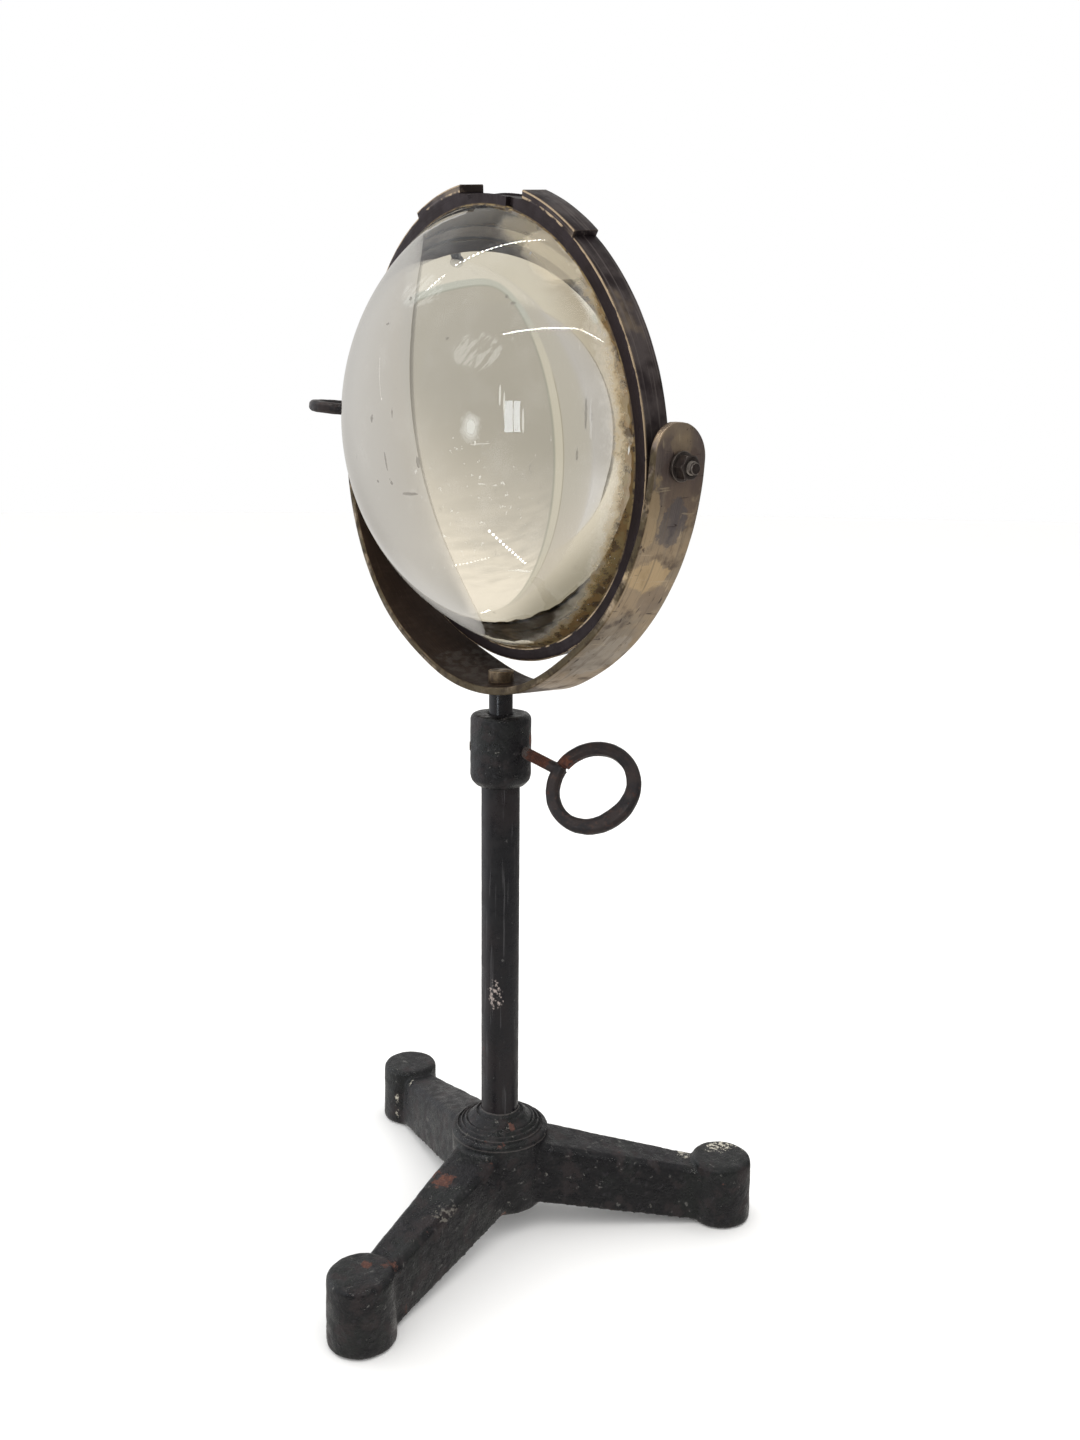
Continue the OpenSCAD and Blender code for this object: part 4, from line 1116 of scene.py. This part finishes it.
def bent_bar(name, place, tip, reach, bend_r, z, flat=0.0):
    """A threaded shank whose own bar is bent round into a ring that nearly closes.

    Local X is the shank's axis: tip is where it starts and reach the middle of the ring.
    """
    gap, behind = math.radians(8.5), math.radians(4)
    x, y, b = z.bar_w / 2, z.bar_t / 2, 1.3 * MM
    section = [(x, y - b), (x - b, y), (b - x, y), (-x, y - b), (-x, b - y), (b - x, -y), (x - b, -y), (x, b - y)]
    section = [(bend_r + u, v) for u, v in softened(section, 0.45 * MM, 2)]
    shape = bmesh.new()
    start = math.pi - behind
    bar = drawn(shape, [(reach + r * math.cos(start), r * math.sin(start), h) for r, h in section])
    bmesh.ops.spin(shape, geom=bar, cent=(reach, 0, 0), axis=(0, 0, 1), angle=FULL - gap + behind, steps=150)
    capped(shape)
    # Hammered wider on its inner side, opposite the shank
    for v in shape.verts:
        out = Vector((v.co.x - reach, v.co.y, 0))
        inner = min(1.0, max(0.0, (bend_r + x - out.length) / (2 * x)))
        dent = flat * inner * bell((math.degrees(math.atan2(out.y, out.x)) + 180) % 360, 155, 40)
        v.co -= out.normalized() * dent
        v.co.z *= 1 - 0.12 * dent / MM
    elbow = reach - bend_r
    swell = elbow - x - 3 * MM
    neck = [
        (0, swell - 1.5 * MM), (z.screw_r - 0.35 * MM, swell - 1.5 * MM), (z.screw_r, swell - 0.6 * MM),
        (z.screw_r, swell), (y, elbow - 1.5 * MM), (y, elbow + 0.4 * MM), (y * 0.7, elbow + 2.2 * MM),
        (0, elbow + 2.6 * MM),
    ]
    added(shape, moved(turned(neck, 40, closed=False), ALONG_X))
    bmesh.ops.recalc_face_normals(shape, faces=shape.faces)
    piece = as_object(shape, name)
    skinned(piece, 0.32 * MM)
    shape = shape_of(piece.data)
    hollows(shape, 0.10 * MM, 3.5 * MM, 6)
    thread = threaded(z.screw_r, tip + 1.2 * MM, swell - 0.2 * MM, 0.42 * MM)
    point_r, behind_point = 2.0 * MM, tip + 1.6 * MM
    point = [
        (0, tip), (point_r - 0.25 * MM, tip), (point_r, tip + 0.3 * MM), (point_r, behind_point), (0, behind_point),
    ]
    added(shape, moved(turned(point, 24, thread, closed=False), ALONG_X))
    stored(moved(shape, place), piece.data)
    return piece


class LENSSTAND_OT_ring_screws(bpy.types.Operator):
    """Makes the clamp screw and the tilt screw, each bent from one bar"""

    bl_idname = "lens_stand.ring_screws"
    bl_label = "Ring-headed screws"

    def execute(self, context):
        z = sizes()
        clamp = bent_bar("clamp_screw", clamp_place(), 6.1 * MM, 48.475 * MM, 17.1 * MM, z, flat=1.8 * MM)
        finished(clamp, "clamp", rusty_iron, "clamp_thumb_screw", crease=40)
        strap_side, bend_r = 100.95 * MM, 13.6 * MM
        reach = strap_side + 6.5 * MM + z.bar_w / 2 + bend_r
        tilt = bent_bar("tilt_screw", pivot_place() @ LEFT, z.ring_r - 3 * MM, reach, bend_r, z)
        finished(tilt, "tilt_screw", rusty_iron, "tilt_thumb_screw", crease=40)
        return {"FINISHED"}


class LENSSTAND_OT_yoke(bpy.types.Operator):
    """Makes the bent strap and the screw that holds it on the rod"""

    bl_idname = "lens_stand.yoke"
    bl_label = "Yoke"

    def execute(self, context):
        z = sizes()
        outer, inner = z.strap_r, z.strap_r - z.strap_t
        half = z.strap_w / 2
        corners = [(inner, -half), (inner, half), (outer, half), (outer, -half)]
        section = dense(softened(corners, 0.8 * MM), 1.1 * MM)
        shape = bmesh.new()
        first, last = math.radians(180 - 18.5), math.radians(360 + 12.5)
        places = [(r * math.cos(first), y, z.yoke_z + r * math.sin(first)) for r, y in section]
        swept(shape, drawn(shape, places), (0, 0, z.yoke_z), (0, -1, 0), last - first, 760, 10)
        self.rounded_ends(shape, z, half)
        bmesh.ops.remove_doubles(shape, verts=shape.verts, dist=2e-6)
        capped(shape)
        bmesh.ops.recalc_face_normals(shape, faces=shape.faces)
        self.bent_by_hand(shape, z)
        hollows(shape, 0.10 * MM, 22 * MM, 9, 2)
        strap = as_object(shape, "strap")
        screw_hole = z.screw_r + 0.08 * MM
        cut(strap, [
            rod_cutter(pivot_place(), z.stud_r + 0.08 * MM, 80 * MM, 120 * MM),
            rod_cutter(pivot_place() @ LEFT, screw_hole, 80 * MM, 120 * MM),
            rod_cutter(rolled(-90, "Y"), 3.08 * MM, 230 * MM, 260 * MM),
        ])
        mark_along(strap, raised(z.yoke_z), outer, lambda p: (-p.z, p.x, p.y))
        finished(strap, "yoke", bronze, "yoke_strap", crease=40)

        floor, foot = z.yoke_z - inner + 0.3 * MM, z.rod_top - 14 * MM
        top, shank_r, head_r = floor + 4.9 * MM, 3 * MM, 5.35 * MM
        path = [(0, foot), (shank_r, foot), (shank_r, floor), (head_r, floor), (head_r, top), (0, top)]
        screw = as_object(turned(softened(path, 0.45 * MM, closed=False), 72, closed=False), "yoke_screw_brass")
        slot = box_cutter(rolled(35, "Z"), (-9 * MM, -0.7 * MM, top - 1.6 * MM), (9 * MM, 0.7 * MM, top + 3 * MM))
        cut(screw, [slot])
        finished(screw, "rod", aged_brass, "yoke_screw", crease=30)
        return {"FINISHED"}

    def rounded_ends(self, shape, z, half):
        """Narrows the strap above the pivots to two round ends, and takes off what stands above them."""
        back = pivot_place().inverted()
        for v in shape.verts:
            high = (back @ v.co).z - z.end_rise
            if high > 0:
                v.co.y *= math.sqrt(max(0.0, half**2 - min(high, half) ** 2)) / half
        tall = [v for v in shape.verts if (back @ v.co).z - z.end_rise > half]
        bmesh.ops.delete(shape, geom=tall, context="VERTS")

    def bent_by_hand(self, shape, z):
        """Leans the strap's lower left in at the back and its lower right in at the front."""
        for v in shape.verts:
            out = Vector((v.co.x, 0, v.co.z - z.yoke_z))
            angle = math.degrees(math.atan2(out.z, out.x)) % 360
            back = min(1.0, max(0.0, v.co.y / z.strap_w + 0.5))
            inward = back**1.6 * (5.4 * bell(angle, 254, 18) + 1.6 * bell(angle, 236, 11))
            inward -= back * bell(angle, 286, 10)
            inward += (1 - back) * (bell(angle, 243, 12) + 1.7 * bell(angle, 304, 13))
            v.co -= out.normalized() * inward * MM


class LENSSTAND_OT_lens_ring(bpy.types.Operator):
    """Makes the lens ring, with its band, flat and notch, and the retaining ring behind the glass"""

    bl_idname = "lens_stand.lens_ring"
    bl_label = "Lens ring"
    steps = 1440

    def execute(self, context):
        z = sizes()
        front, back = RING_FRONT, RING_BACK
        wall = z.ring_r - 4.3 * MM
        low, b = z.ring_r, 0.4 * MM
        outline = [(z.mouth_r + step * MM, front) for step in (0, 0.5, 2, 3.5)]
        outline += [(low - b, front), (low - b * 0.3, front - b * 0.3), (low, front - b)]
        outline += [(low, height * MM) for height in (4.4, 2.2, 0, -2)]
        outline += [
            (low, back + b), (low - b * 0.3, back + b * 0.3), (low - b, back),
            (low - 2 * MM, back), (wall + 0.3 * MM, back), (wall, back + 0.3 * MM), (wall, front - 2.22 * MM),
        ]
        shape = turned(outline, self.steps)
        self.shape_outside(shape, z, b)
        self.notch_lip(shape)
        hollows(shape, 0.05 * MM, 9 * MM, 11, 2)
        place = lens_place()
        ring = as_object(moved(shape, place), "lens_ring_brass")
        mark_along(ring, place, z.ring_r)
        finished(ring, "cell", dark_brass, "lens_ring")

        outer, inner, t = wall - 0.03 * MM, wall - 4.9 * MM, 2.6 * MM
        base = back + 0.6 * MM
        shape = turned(softened(slab(inner, outer, base, base + t), 0.4 * MM, 2), 720)
        keeper = as_object(moved(shape, place), "keeper_ring")
        low, high = (inner - 5 * MM, -2 * MM, base - 1.2 * MM), (outer + 5 * MM, 2 * MM, base + 1.2 * MM)
        cut(keeper, [box_cutter(place @ rolled(a, "Z"), low, high) for a in (45, 225)])
        mark_along(keeper, place, z.ring_r)
        finished(keeper, "cell", dark_brass, "retaining_ring")
        return {"FINISHED"}

    def shape_outside(self, shape, z, b):
        """Raises the band, and files the flat across it."""
        band_from, band_to, flat_at = map(math.radians, (54, 116.5, 85.3))
        flat_r, flat_half = 88.9 * MM, 19.3 * MM
        inner_end = math.atan2(flat_half, flat_r)
        outer_end = math.asin(flat_half / z.band_r)
        step = FULL / self.steps
        for v in shape.verts:
            r = math.hypot(v.co.x, v.co.y)
            angle = math.atan2(v.co.y, v.co.x) % FULL
            # Columns beside a step move to it, so that it stands up straight
            for mark in (band_from, band_to, flat_at - inner_end, flat_at + inner_end):
                if abs(angle - mark) < step:
                    angle = mark + math.copysign(0.0002, angle - mark)
            if r > z.ring_r - b - 1e-6:
                depth = z.ring_r - r
                if abs(angle - flat_at) <= inner_end:
                    r = flat_r / math.cos(angle - flat_at) - depth
                elif band_from < angle < band_to:
                    r = z.band_r - depth
                    beside = abs(angle - flat_at) - inner_end
                    if beside < 0.0015:
                        angle = flat_at + math.copysign(outer_end + 0.0001, angle - flat_at)
            v.co.x, v.co.y = r * math.cos(angle), r * math.sin(angle)

    def notch_lip(self, shape):
        """Cuts the notch in the lip, with the columns beside it moved to its sides."""
        at, half, floor = math.radians(77.5), 2.25 * MM, RING_FRONT - 1.6 * MM
        across = Vector((-math.sin(at), math.cos(at), 0))
        out = Vector((math.cos(at), math.sin(at), 0))
        for v in shape.verts:
            if v.co.z > RING_FRONT - 2.2 * MM and v.co.dot(out) > 0:
                off = v.co.dot(across)
                if half - 0.25 * MM < abs(off) < half + 0.3 * MM:
                    v.co += across * (math.copysign(half, off) - off)
                if abs(off) < half and v.co.z > floor:
                    v.co.z = floor


class LENSSTAND_OT_glass(bpy.types.Operator):
    """Makes the glass, what lies on it, and the old cement round its rim"""

    bl_idname = "lens_stand.glass"
    bl_label = "Glass"

    def execute(self, context):
        z = sizes()
        front = RING_FRONT
        dome_h, front_r = 51.45 * MM, z.mouth_r - 0.3 * MM
        dome_r = (dome_h**2 + front_r**2) / (2 * dome_h)
        centre = front + dome_h - dome_r
        edge_r, flat = 87.05 * MM, front - 7.9 * MM

        outline = self.dome(dome_r, centre, math.asin(edge_r / dome_r), 110)
        outline += [(edge_r, flat + 0.4 * MM), (edge_r - 0.4 * MM, flat), (60 * MM, flat), (30 * MM, flat), (0, flat)]
        glass = as_object(moved(turned(outline, 264, closed=False), lens_place()), "glass")
        finished(glass, "cell", lens_glass, "lens_glass", crease=30)

        path = self.dome(dome_r + 0.04 * MM, centre, math.asin(front_r / dome_r) * 0.9995, 90)
        self.dust(turned(path, 264, closed=False))
        self.seal(front, flat)
        self.cement(z, front_r, dome_r)
        return {"FINISHED"}

    def dome(self, radius, centre, end, count):
        """Half of the dome's outline, from its top out to an end angle."""
        turns = [end * k / count for k in range(count + 1)]
        return [(radius * math.sin(a), centre + radius * math.cos(a)) for a in turns]

    def dust(self, shape):
        """A film on the dome, with its dust and one painted soft highlight, which knows how near its rim and how far
        to its right each point lies.
        """
        points = [v.co.copy() for v in shape.verts]
        film = as_object(moved(shape, lens_place()), "glass_dust_and_highlight")
        rim = [min(1.0, max(0.0, (math.hypot(p.x, p.y) / MM - 72) / 14)) for p in points]
        side = [math.cos(math.atan2(p.y, p.x) - math.radians(-28)) for p in points]
        for name, values in (("rim", rim), ("side", side)):
            film.data.attributes.new(name, "FLOAT", "POINT").data.foreach_set("value", values)
        finished(film, "cell", glass_film, crease=60)

    def seal(self, front, flat):
        """The ground rim of the glass, with a ragged inner edge on its flat side."""
        seal_r, side_r, inner = 87.2 * MM, 86.95 * MM, (76 * MM, 80 * MM)
        top, bottom, high = flat - 0.02 * MM, flat - 0.08 * MM, front - 2.6 * MM
        outline = [(r, top) for r in (*inner, side_r)] + [(side_r, high), (seal_r, high)]
        outline += [(r, bottom) for r in (seal_r, *reversed(inner))]
        shape = turned(outline, 360)
        for v in shape.verts:
            if math.hypot(v.co.x, v.co.y) < 78 * MM:
                grow = 1 + 0.016 * noise.fractal(Vector((v.co.x, v.co.y, 0)) * 90, 1.0, 2.0, 4)
                v.co.x *= grow
                v.co.y *= grow
        seal = as_object(moved(shape, lens_place()), "rim_seal")
        mark_along(seal, lens_place(), 1 / math.pi)
        finished(seal, "cell", seal_look, crease=40)

    def cement(self, z, front_r, dome_r):
        """The bead of old cement round the dome, which creeps up it unevenly."""
        outline = [(-1.0, 0.45), (-0.2, 0.32), (0.28, -0.1), (0.55, -0.8), (-0.1, -0.7)]
        shape = turned([(front_r + r * MM, RING_FRONT + h * MM) for r, h in outline], 720)
        for v in shape.verts:
            angle, r = math.atan2(v.co.y, v.co.x), math.hypot(v.co.x, v.co.y)
            if r < front_r:
                spot = Vector((math.cos(angle) * 9, math.sin(angle) * 9, v.co.z * 300))
                creep = max(0.2, 1.0 + 1.1 * noise.fractal(spot, 1.0, 2.0, 4))
                r_new = front_r - creep * (front_r - r)
                v.co.x *= r_new / r
                v.co.y *= r_new / r
                v.co.z += math.sqrt(dome_r**2 - r_new**2) - math.sqrt(dome_r**2 - r**2) + 0.06 * MM
        bead = as_object(moved(shape, lens_place()), "rim_cement_bead")
        finished(bead, "cell", rim_cement, crease=60)


class LENSSTAND_OT_pivots(bpy.types.Operator):
    """Makes the stud, nuts, washers and spacer on the pivot axis"""

    bl_idname = "lens_stand.pivots"
    bl_label = "Pivot fittings"

    def execute(self, context):
        z = sizes()
        right, left = pivot_place() @ ALONG_X, pivot_place() @ LEFT @ ALONG_X
        drop = z.pivot_z - z.yoke_z
        shift, fall = drop * math.sin(z.lean), drop * math.cos(z.lean)
        inner_run = math.sqrt((z.strap_r - z.strap_t) ** 2 - fall**2)
        outer_run = math.sqrt(z.strap_r**2 - fall**2)
        right_in, right_out = inner_run + shift, outer_run + shift
        left_in, left_out = inner_run - shift, outer_run - shift
        gap, thick, nut_h = 0.3 * MM, 1 * MM, 4 * MM
        bore, hole, wide = z.stud_r + 0.03 * MM, z.screw_r + 0.08 * MM, 5.3 * MM

        end, thread = right_out + gap + thick + nut_h + 2.2 * MM, 0.4 * MM
        shape = threaded(z.stud_r, z.ring_r - 3 * MM, end - 0.9 * MM, thread)
        point = softened(slab(0, z.stud_r - thread, end - 1.4 * MM, end), 0.45 * MM, closed=False)
        turned(point, 32, shape, closed=False)
        finished(as_object(moved(shape, right), "stud"), "cell", dark_steel, "pivot_stud")

        rings = [
            ("outer_washer", right, bore, wide, right_out + gap, thick, dark_steel, "pivot_washer", "aged_brass"),
            ("tilt_side_washer", left, hole, wide, left_out + gap, thick, aged_brass, "tilt_washer", "aged_brass"),
            (
                "tilt_side_spacer", left, hole, 4.5 * MM, z.ring_r + 0.1 * MM,
                left_in - gap - z.ring_r - 0.1 * MM, aged_brass, "tilt_spacer", "aged_brass",
            ),
        ]
        for name, place, inner, outer, start, run, look, node, slot in rings:
            shape = turned(softened(slab(inner, outer, start, start + run), 0.25 * MM, 2), 72)
            finished(as_object(moved(shape, place), name), "cell", look, node)
        nuts = [
            ("outer_nut", right_out + gap + thick, False, dark_steel, "pivot_nut", "dark_steel"),
            ("inner_nut", right_in - gap - nut_h, True, aged_brass, "pivot_lock_nut", "aged_brass"),
        ]
        for name, start, low_side, look, node, slot in nuts:
            place = right @ raised(start) @ rolled(30, "Z")
            nut = hexagon(name, 8 * MM, nut_h, bore - 0.2 * MM, place, low_side)
            finished(nut, "cell", look, node, crease=50)
        return {"FINISHED"}


class LENSSTAND_OT_stage(bpy.types.Operator):
    """Sets the pale floor, the soft studio light and the camera"""

    bl_idname = "lens_stand.stage"
    bl_label = "Stage"

    def execute(self, context):
        shape = bmesh.new()
        bmesh.ops.create_circle(shape, cap_ends=True, segments=96, radius=9.0)
        floor = as_object(shape, "floor")
        f = Finish("pale_floor", colours().floor, 0.75)
        f.uneven(40, 0.05)
        floor.data.materials.append(f.done(**{"Specular IOR Level": 0.2}))
        floor.visible_glossy = floor.visible_transmission = False

        context.scene.world = world = bpy.data.worlds.new("studio")
        tree = emptied(world)
        way = put(tree, "ShaderNodeTexCoord").outputs["Generated"]
        ray = put(tree, "ShaderNodeLightPath").outputs
        sky = blend(tree, ray["Is Glossy Ray"], (1.16, 1.16, 1.16), self.mirrored(tree, way))
        sky = blend(tree, ray["Is Transmission Ray"], sky, self.seen_through(tree, way))
        sky = blend(tree, ray["Is Camera Ray"], sky, (1.0, 1.0, 1.0))
        shown(tree, put(tree, "ShaderNodeBackground", {}, {"Color": sky, "Strength": 1.0}), "World")

        self.lamp("window_left", (-1.6, -0.9, 1.1), 0.25, (1.6, 1.4), 16, (0.96, 0.98, 1.0))
        self.lamp("ceiling", (0.3, 0.2, 2.2), 0.2, (1.8, 1.8), 14, (1.0, 0.985, 0.96))
        self.lamp("front_fill", (1.5, -1.6, 0.9), 0.25, (1.0, 1.0), 3, (1.0, 0.98, 0.95))
        rows = [  # start and end across and back, number of lamps, size as the lens sees it, strength
            ((-0.500, -0.400), (-0.027, -0.154), 20, 0.0072, 70),
            ((-0.760, -0.560), (-0.600, -0.480), 5, 0.0110, 12),
            ((0.250, -1.140), (0.800, -0.645), 24, 0.0062, 70),
            ((0.835, -0.625), (1.130, -0.570), 9, 0.0064, 45),
            ((-5.460, -3.850), (-2.400, -1.240), 13, 0.0042, 7),
        ]
        for row in rows:
            self.light_row(*row)
        window = Matrix.Translation((0.472, -1.166, 0.376)) @ rolled(200, "Z") @ rolled(90, "X")
        for aside, wide in ((-0.046, 0.066), (0.038, 0.086)):
            shape = bmesh.new()
            bmesh.ops.create_grid(shape, x_segments=1, y_segments=1, size=0.5)
            moved(shape, window @ Matrix.Translation((aside, 0, 0)) @ Matrix.Diagonal((wide, 0.290, 1, 1)))
            self.glow(as_object(shape, "small_window"), (0.86, 0.93, 1.0), 9.0)
        self.photo_camera(context)
        return {"FINISHED"}

    def photo_camera(self, context):
        """The camera as it was fitted to the photograph: heading from +X, pitch down, roll and focal length."""
        lens = bpy.data.cameras.new("photo_camera")
        lens.sensor_fit, lens.sensor_width, lens.sensor_height, lens.lens = "AUTO", 36, 24, 31.18
        lens.clip_start, lens.clip_end = 0.01, 50
        camera = in_scene("photo_camera", lens)
        place, heading, pitch, roll = Vector((408.61, -312.47, 331.97)) * MM, 140.76, 11.40, 0.52
        camera.matrix_world = (
            Matrix.Translation(place) @ rolled(heading - 90, "Z") @ rolled(90 - pitch, "X") @ rolled(roll, "Z")
        )
        context.scene.camera = camera
        context.scene.view_settings.view_transform = "Standard"

    def mirrored(self, tree, way):
        """The room that polished metal mirrors: a pale table, a dim room, a window on the left, white far off."""
        up = axes(tree, way)["Z"]
        room = blend(tree, spread(tree, up, -0.4, 0.7), (0.10, 0.095, 0.09), (0.42, 0.42, 0.41))
        room = blend(tree, spread(tree, up, -0.18, -0.55), room, (0.62, 0.60, 0.57))
        far_side = (-0.775, 0.633, 0.0), 0.74, (0.66, 0.65, 0.63)
        window = (-0.74, -0.60, 0.30), 0.45, (0.95, 0.97, 1.0)
        for (to, low, colour), high in zip((far_side, window), (0.98, 0.97)):
            near = vectors(tree, "DOT_PRODUCT", way, to, "Value")
            room = blend(tree, spread(tree, near, low, high), room, colour)
        return room

    def seen_through(self, tree, way):
        """What shows in the glass: a grey pane with a rounded corner, paler walls round it and warm light below.

        Angles are in radians: rise from level, and aside from the way in which the glass bends the view.
        """
        x, y, up = axes(tree, way)
        ahead = plus(tree, times(tree, x, -0.819), times(tree, y, -0.574))
        left = plus(tree, times(tree, x, 0.574), times(tree, y, -0.819))
        aside = maths(tree, "ARCTAN2", left, ahead)
        rise = maths(tree, "ARCSINE", up)

        def layer(under, mask, over):
            return blend(tree, mask, under, over)

        def between(value, low, high, *ends):
            return spread(tree, value, low, high, *ends)

        def slanted(slope, shift):
            """The rise above a slanted line."""
            return plus(tree, plus(tree, rise, shift), times(tree, aside, slope))

        # The pane, darker below, with ripples in its light
        edge = times(tree, slanted(-5.0, -1.415), -0.2)
        corner = {0: edge, 1: plus(tree, rise, 0.66), 2: 0.22}
        inside = put(tree, "ShaderNodeMath", {"operation": "SMOOTH_MIN"}, corner).outputs[0]
        ripples = maths(tree, "SUBTRACT", grain(tree, stretched(tree, way, (7.0, 7.0, 30.0)), 1.0, 4.0, 0.6), 0.5)
        ripples = times(tree, ripples, between(rise, -0.15, 0.35, 0.05, 0.75))
        lit = between(plus(tree, slanted(0.7, 0.0), ripples), -0.30, 0.62)
        pane = layer((0.430, 0.395, 0.328), lit, (0.96, 0.86, 0.71))

        # The wall round it, with a paler strip and a thin shadow beside the pane
        wall = layer((0.68, 0.63, 0.53), between(rise, -0.62, -0.50), (0.50, 0.46, 0.385))
        wall = layer(wall, between(rise, 0.05, 0.35), (0.57, 0.51, 0.42))
        strip = layer((0.50, 0.50, 0.43), between(rise, -0.50, -0.35), (0.60, 0.55, 0.44))
        wall = layer(wall, between(inside, -0.058, -0.048), strip)
        shadow = between(maths(tree, "ABSOLUTE", plus(tree, inside, 0.052)), 0.006, 0.0, 0.0, 0.7)
        wall = layer(wall, times(tree, shadow, between(rise, -0.30, -0.22)), (0.30, 0.26, 0.18))
        room = layer(wall, between(inside, -0.006, 0.006), pane)
        outline = between(maths(tree, "ABSOLUTE", inside), 0.011, 0.0, 0.0, 0.55)
        room = layer(room, outline, (0.27, 0.275, 0.215))

        # On one side of the pane a darker wall, lit warmer above, and on the other a pale grey one
        upper_side = layer((0.78, 0.70, 0.56), between(slanted(-0.8, 0.0), -0.10, 0.46), (0.34, 0.30, 0.22))
        lower_side = layer((0.47, 0.40, 0.29), between(aside, 0.20, 0.75), (0.68, 0.62, 0.50))
        beside = layer(lower_side, between(rise, -0.10, 0.25), upper_side)
        room = layer(room, between(aside, 0.19, 0.26), beside)
        far = layer((0.510, 0.478, 0.440), between(rise, 0.25, 0.50), (0.64, 0.61, 0.58))
        return layer(room, between(aside, -0.55, -0.70), far)

    def light_row(self, start, end, count, size, strength):
        """A row of small bright lamps, evenly spaced as the lens sees them, which shows only in glass and metal."""
        shape = bmesh.new()
        height = 1.185
        start, end, lens = Vector((*start, height)), Vector((*end, height)), Vector((0, 0, sizes().pivot_z))
        first, last = (start - lens).length, (end - lens).length
        for k in range(count):
            part = k / (count - 1)
            at = start.lerp(end, part * first / ((1 - part) * last + part * first))
            radius = size * (at - lens).length
            bmesh.ops.create_icosphere(shape, subdivisions=2, radius=radius, matrix=Matrix.Translation(at))
        self.glow(as_object(shape, "lamp_row"), (1.0, 0.98, 0.94), strength)

    def glow(self, lamp, colour, strength):
        material = bpy.data.materials.new(lamp.name + "_light")
        tree = emptied(material)
        shown(tree, put(tree, "ShaderNodeEmission", {}, {"Color": (*colour, 1.0), "Strength": strength}))
        lamp.data.materials.append(material)
        lamp.visible_camera = lamp.visible_diffuse = lamp.visible_shadow = False

    def lamp(self, name, at, aim, size, power, colour):
        """A soft light, turned to a height on the column's axis, that the camera doesn't see."""
        data = bpy.data.lights.new(name, "AREA")
        data.shape, data.energy, data.color = "RECTANGLE", power, colour
        data.size, data.size_y = size
        light = in_scene(name, data)
        light.location = at
        light.rotation_mode = "QUATERNION"
        light.rotation_quaternion = (Vector((0, 0, aim)) - Vector(at)).to_track_quat("-Z", "Y")
        light.visible_camera = light.visible_glossy = light.visible_transmission = False


OPERATORS = (
    LENSSTAND_OT_stage,
    LENSSTAND_OT_casting,
    LENSSTAND_OT_column,
    LENSSTAND_OT_collar,
    LENSSTAND_OT_ring_screws,
    LENSSTAND_OT_yoke,
    LENSSTAND_OT_lens_ring,
    LENSSTAND_OT_glass,
    LENSSTAND_OT_pivots,
)


class LENSSTAND_PT_panel(bpy.types.Panel):
    """Lists the pieces of the lens on its stand"""

    bl_label = "Lens stand"
    bl_idname = "LENSSTAND_PT_panel"
    bl_space_type = "VIEW_3D"
    bl_region_type = "UI"
    bl_category = "Lens stand"

    def draw(self, context):
        for operator in OPERATORS:
            self.layout.operator(operator.bl_idname)
        for group_name in ("lens_stand_sizes", "lens_stand_colours"):
            held = getattr(context.scene, group_name)
            for key in held.__annotations__:
                self.layout.prop(held, key)


CLASSES = (LensStandSizes, LensStandColours, *OPERATORS, LENSSTAND_PT_panel)


def register():
    for one in CLASSES:
        bpy.utils.register_class(one)
    bpy.types.Scene.lens_stand_sizes = bpy.props.PointerProperty(type=LensStandSizes)
    bpy.types.Scene.lens_stand_colours = bpy.props.PointerProperty(type=LensStandColours)


def unregister():
    del bpy.types.Scene.lens_stand_colours
    del bpy.types.Scene.lens_stand_sizes
    for one in reversed(CLASSES):
        bpy.utils.unregister_class(one)


def main():
    register()
    for operator in OPERATORS:
        group_name, call = operator.bl_idname.split(".")
        if getattr(getattr(bpy.ops, group_name), call)() != {"FINISHED"}:
            raise RuntimeError(f"{operator.bl_label} wasn't finished")


if __name__ == "__main__":
    main()
